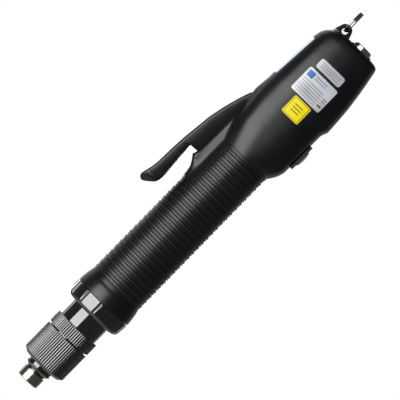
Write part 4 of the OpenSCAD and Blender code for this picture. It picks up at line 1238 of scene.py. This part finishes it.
@dataclass
class CaseScrews:
    """Socket screws in the wells of the rear half."""

    head_r: float = 2.8
    head_h: float = 2.2
    shank_r: float = 1.5
    length: float = 18.0
    socket_r: float = 1.45

    def screw(self) -> Object:
        """Turns one screw along +Y from the origin, its head's underside at Y 0."""
        outline = rounded([(0.0, -self.length, 0), (self.shank_r, -self.length, 0.3), (self.shank_r, 0, 0),
                           (self.head_r, 0, 0.1), (self.head_r, self.head_h, 0.5), (0.0, self.head_h, 0)])
        skin = Skin()
        skin.revolve(outline, 36)
        screw = skin.build("screw")
        screw.data.transform(Matrix.Rotation(math.radians(-90), 4, "X"))
        return carved(screw, [rod((0, 0.8, 0), (0, self.head_h + 1, 0), self.socket_r, 6)])

    def dress(self, tree: OnPoints, places: Sequence[tuple[float, float]], seat_y: float) -> None:
        """Sets a screw in each well."""
        screw = self.screw()
        mesh = bpy.data.meshes.new("screw_places")
        mesh.from_pydata([(x * MM, seat_y * MM, z * MM) for x, z in places], [], [])
        points = placed("screw_places", mesh)
        piece = tree.make("socket_screws", {"Piece": screw, "Places": points}, BLACK_OXIDE.material())
        bpy.data.objects.remove(screw)
        bpy.data.objects.remove(points)
        finish(piece, BLACK_OXIDE, "housing", "steel", "case_screws")


# --- labels
@dataclass
class Label:
    """A thin film plate that follows the head's face."""

    name: str
    look: Finish
    slot: str
    onto: Callable[[float, float, float], Vector]
    across: tuple[float, float]
    up: tuple[float, float]
    corner: float = 1.0
    thickness: float = 0.12
    sink: float = 0.05
    columns: int = 26

    def dress(self) -> None:
        """Lays the plate on the face, its corners rounded."""
        left, right = self.across
        low, high = self.up
        heights = sorted(set(spread(low, high, 20) + [low + self.corner * k / 6 for k in range(7)]
                             + [high - self.corner * k / 6 for k in range(7)]))
        skin, sheets = Skin(), []
        for lift in (self.thickness, -self.sink):
            rows = []
            for z in heights:
                near = min(z - low, high - z, self.corner)
                cut = self.corner - math.sqrt(max(0.0, self.corner ** 2 - (self.corner - near) ** 2))
                rows.append([self.onto(u, z, lift) for u in spread(left + cut, right - cut, self.columns)])
            sheets.append(skin.grid(rows))
        skin.rim(*sheets)
        finish(skin.build(self.name), self.look, "housing", self.slot)


# --- studio
@dataclass(frozen=True)
class Softbox:
    """A soft rectangular lamp that faces the tool.

    The turn is in degrees round the tool from the labelled face, positive towards the lever. The rise above
    the tool's middle, the distance from the axis and the two sides are in metres, and the power is in watts.
    """

    name: str
    turn: float
    rise: float
    far: float
    width: float
    height: float
    power: float


@dataclass
class Studio:
    """Pale floor, white backdrop, soft lamps and the camera."""

    axis_lean: float = 44.3
    aim: tuple[float, float, float] = (-1.1, 0.0, 140.0)
    distance: float = 1290.0
    lens: float = 207.0
    backdrop_y: float = 2.2
    white_reach: float = 0.46
    glow_reach: float = 1.15
    floor_z: float = -0.9
    floor_reach: float = 4.0
    world_strength: float = 0.09
    lamps: tuple[Softbox, ...] = (Softbox("key_softbox", 32.5, -0.22, 1.2, 1.12, 1.25, 22.0),
                                  Softbox("edge_strip", 128.0, 0.1, 1.0, 0.22, 1.2, 1.2),
                                  Softbox("back_softbox", 168.0, 0.2, 1.5, 1.1, 1.6, 9.0),
                                  Softbox("far_strip", -142.0, 0.0, 1.0, 0.12, 1.2, 0.35))

    def camera(self) -> None:
        """Sets the camera square to the spindle's axis, rolled so that the tool leans."""
        aim, roll = Vector(self.aim) * MM, math.radians(self.axis_lean)
        right = Vector((math.cos(roll), 0, math.sin(roll)))
        up = Vector((-math.sin(roll), 0, math.cos(roll)))
        data = bpy.data.cameras.new("camera")
        data.lens, data.sensor_width, data.clip_end = self.lens, 36.0, 20.0
        camera = placed("camera", data)
        back = Vector((0, -1, 0))
        turn = Matrix((right, up, back)).transposed().to_4x4()
        camera.matrix_world = Matrix.Translation(aim + back * self.distance * MM) @ turn
        bpy.context.scene.camera = camera

    def lamp(self, box: Softbox) -> None:
        """Hangs one soft lamp, unseen by the camera."""
        data = bpy.data.lights.new(box.name, "AREA")
        data.shape, data.size, data.size_y, data.energy = "RECTANGLE", box.width, box.height, box.power
        lamp, angle = placed(box.name, data), math.radians(box.turn)
        spot = Vector((-math.sin(angle) * box.far, -math.cos(angle) * box.far, self.aim[2] * MM + box.rise))
        lamp.location = spot
        lamp.rotation_euler = (Vector(self.aim) * MM - spot).to_track_quat("-Z", "Y").to_euler()
        lamp.visible_camera = False

    def square(self, name: str, centre: Vector, right: Vector, up: Vector, material: Material) -> None:
        """Adds a flat stage piece that reaches right and up to each side of its centre."""
        mesh = bpy.data.meshes.new(name)
        corners = [centre + right * x + up * y for x, y in ((-1, -1), (1, -1), (1, 1), (-1, 1))]
        mesh.from_pydata([tuple(corner) for corner in corners], [], [(0, 1, 2, 3)])
        mesh.materials.append(material)
        placed(name, mesh)

    def paper(self) -> Material:
        """Matt off-white paper for the floor."""
        made, tree = blank_material("floor_paper")
        matt = add_node(tree, "ShaderNodeBsdfDiffuse", {"Color": linear("#e8e8e6")}).outputs[0]
        add_node(tree, "ShaderNodeOutputMaterial", {"Surface": matt})
        return made

    def glow(self, centre: Vector) -> Material:
        """Plain white behind the tool to the eye, to metal and through glass, fading out round its edge."""
        made, tree = blank_material("backdrop_glow")
        path = add_node(tree, "ShaderNodeLightPath").outputs
        seen = arithmetic(tree, "MAXIMUM", path["Is Camera Ray"], path["Is Glossy Ray"])
        seen = arithmetic(tree, "MAXIMUM", seen, path["Is Transmission Ray"])
        place = add_node(tree, "ShaderNodeTexCoord").outputs["Object"]
        away = add_node(tree, "ShaderNodeVectorMath", {0: place, 1: tuple(centre)}, operation="DISTANCE")
        fade = add_node(tree, "ShaderNodeMapRange", {
            "Value": away.outputs["Value"], "From Min": self.white_reach, "From Max": self.glow_reach,
            "To Min": 1.0, "To Max": 0.0}, interpolation_type="SMOOTHSTEP")
        share = arithmetic(tree, "MULTIPLY", seen, fade.outputs[0])
        clear = add_node(tree, "ShaderNodeBsdfTransparent").outputs[0]
        white = add_node(tree, "ShaderNodeEmission", {"Color": (1, 1, 1, 1), "Strength": 1.0}).outputs[0]
        mixed = add_node(tree, "ShaderNodeMixShader", {0: share, 1: clear, 2: white}).outputs[0]
        add_node(tree, "ShaderNodeOutputMaterial", {"Surface": mixed})
        return made

    def light(self) -> None:
        """Sets the world, the lamps, the floor and the backdrop."""
        world = bpy.data.worlds.new("studio")
        bpy.context.scene.world = world
        world.use_nodes = True
        sky = world.node_tree.nodes["Background"].inputs
        sky["Color"].default_value, sky["Strength"].default_value = (1, 1, 1, 1), self.world_strength
        for box in self.lamps:
            self.lamp(box)
        across, along, up = (Vector(axis) for axis in ((1, 0, 0), (0, 1, 0), (0, 0, 1)))
        wide, reach = self.floor_reach, self.glow_reach
        self.square("floor", up * self.floor_z, across * wide, along * wide, self.paper())
        centre = Vector((0, self.backdrop_y, self.aim[2] * MM))
        self.square("backdrop", centre, across * reach, up * reach, self.glow(centre))


def main() -> None:
    """Builds the studio and dresses the tool, piece by piece."""
    logging.basicConfig(level=logging.INFO, format="%(name)s %(message)s", stream=sys.stdout)
    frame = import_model()
    bpy.context.scene.view_settings.view_transform = "Standard"
    studio = Studio()
    studio.camera()
    dress_nodes(frame["nodes"])
    form = HousingForm()
    housing = Housing(form)
    housing.dress()
    GripRidges(form).dress()
    NoseCollar().dress()
    sectors, on_points = RingOfSectors(), OnPoints()
    collar_r = Place.of("bit_collar").high.x
    KnurledRing("torque_nut_dressed", "torque_nut", "nut", "black_matt", RING_BORE_R, 2.2, 0.4, floor=2.5,
                mouth_r=collar_r + 0.4).dress(sectors)
    KnurledRing("lock_ring_dressed", "lock_ring", "lock", "black_matt", RING_BORE_R, 0.4, 0.5).dress(sectors)
    Lever().dress()
    SplitRing().dress()
    for spring in (CoilSpring("clutch_spring", "housing", "nut_slide", 4.0, 1.9, 7),
                   CoilSpring("collar_spring", "spindle", "collar_slide", 2.3, 0.8, 4),
                   CoilSpring("lever_spring", "housing", "lever_press", 1.7, 0.6, 5, along_x=True)):
        spring.dress()
    CaseScrews().dress(on_points, housing.screw_places, housing.screw_seat_y)
    for label in (
            Label("rating_plate", PLATE_FILM, "black_gloss", form.front, (-8.9, 12.0), (219.7, 235.9), 1.1,
                  0.25),
            Label("small_plate", SMALL_FILM, "black_gloss", form.front, (-7.2, 10.4), (237.5, 243.7), 1.4,
                  0.25),
            Label("yellow_label", YELLOW_VINYL, "black_gloss", form.front, (-3.8, 8.2), (206.9, 218.6), 1.0),
            Label("side_label", WHITE_VINYL, "black_gloss", form.flank, (-10.7, 10.7), (220.2, 249.2), 0.8,
                  0.05)):
        label.dress()
    studio.light()


if __name__ == "__main__":
    main()
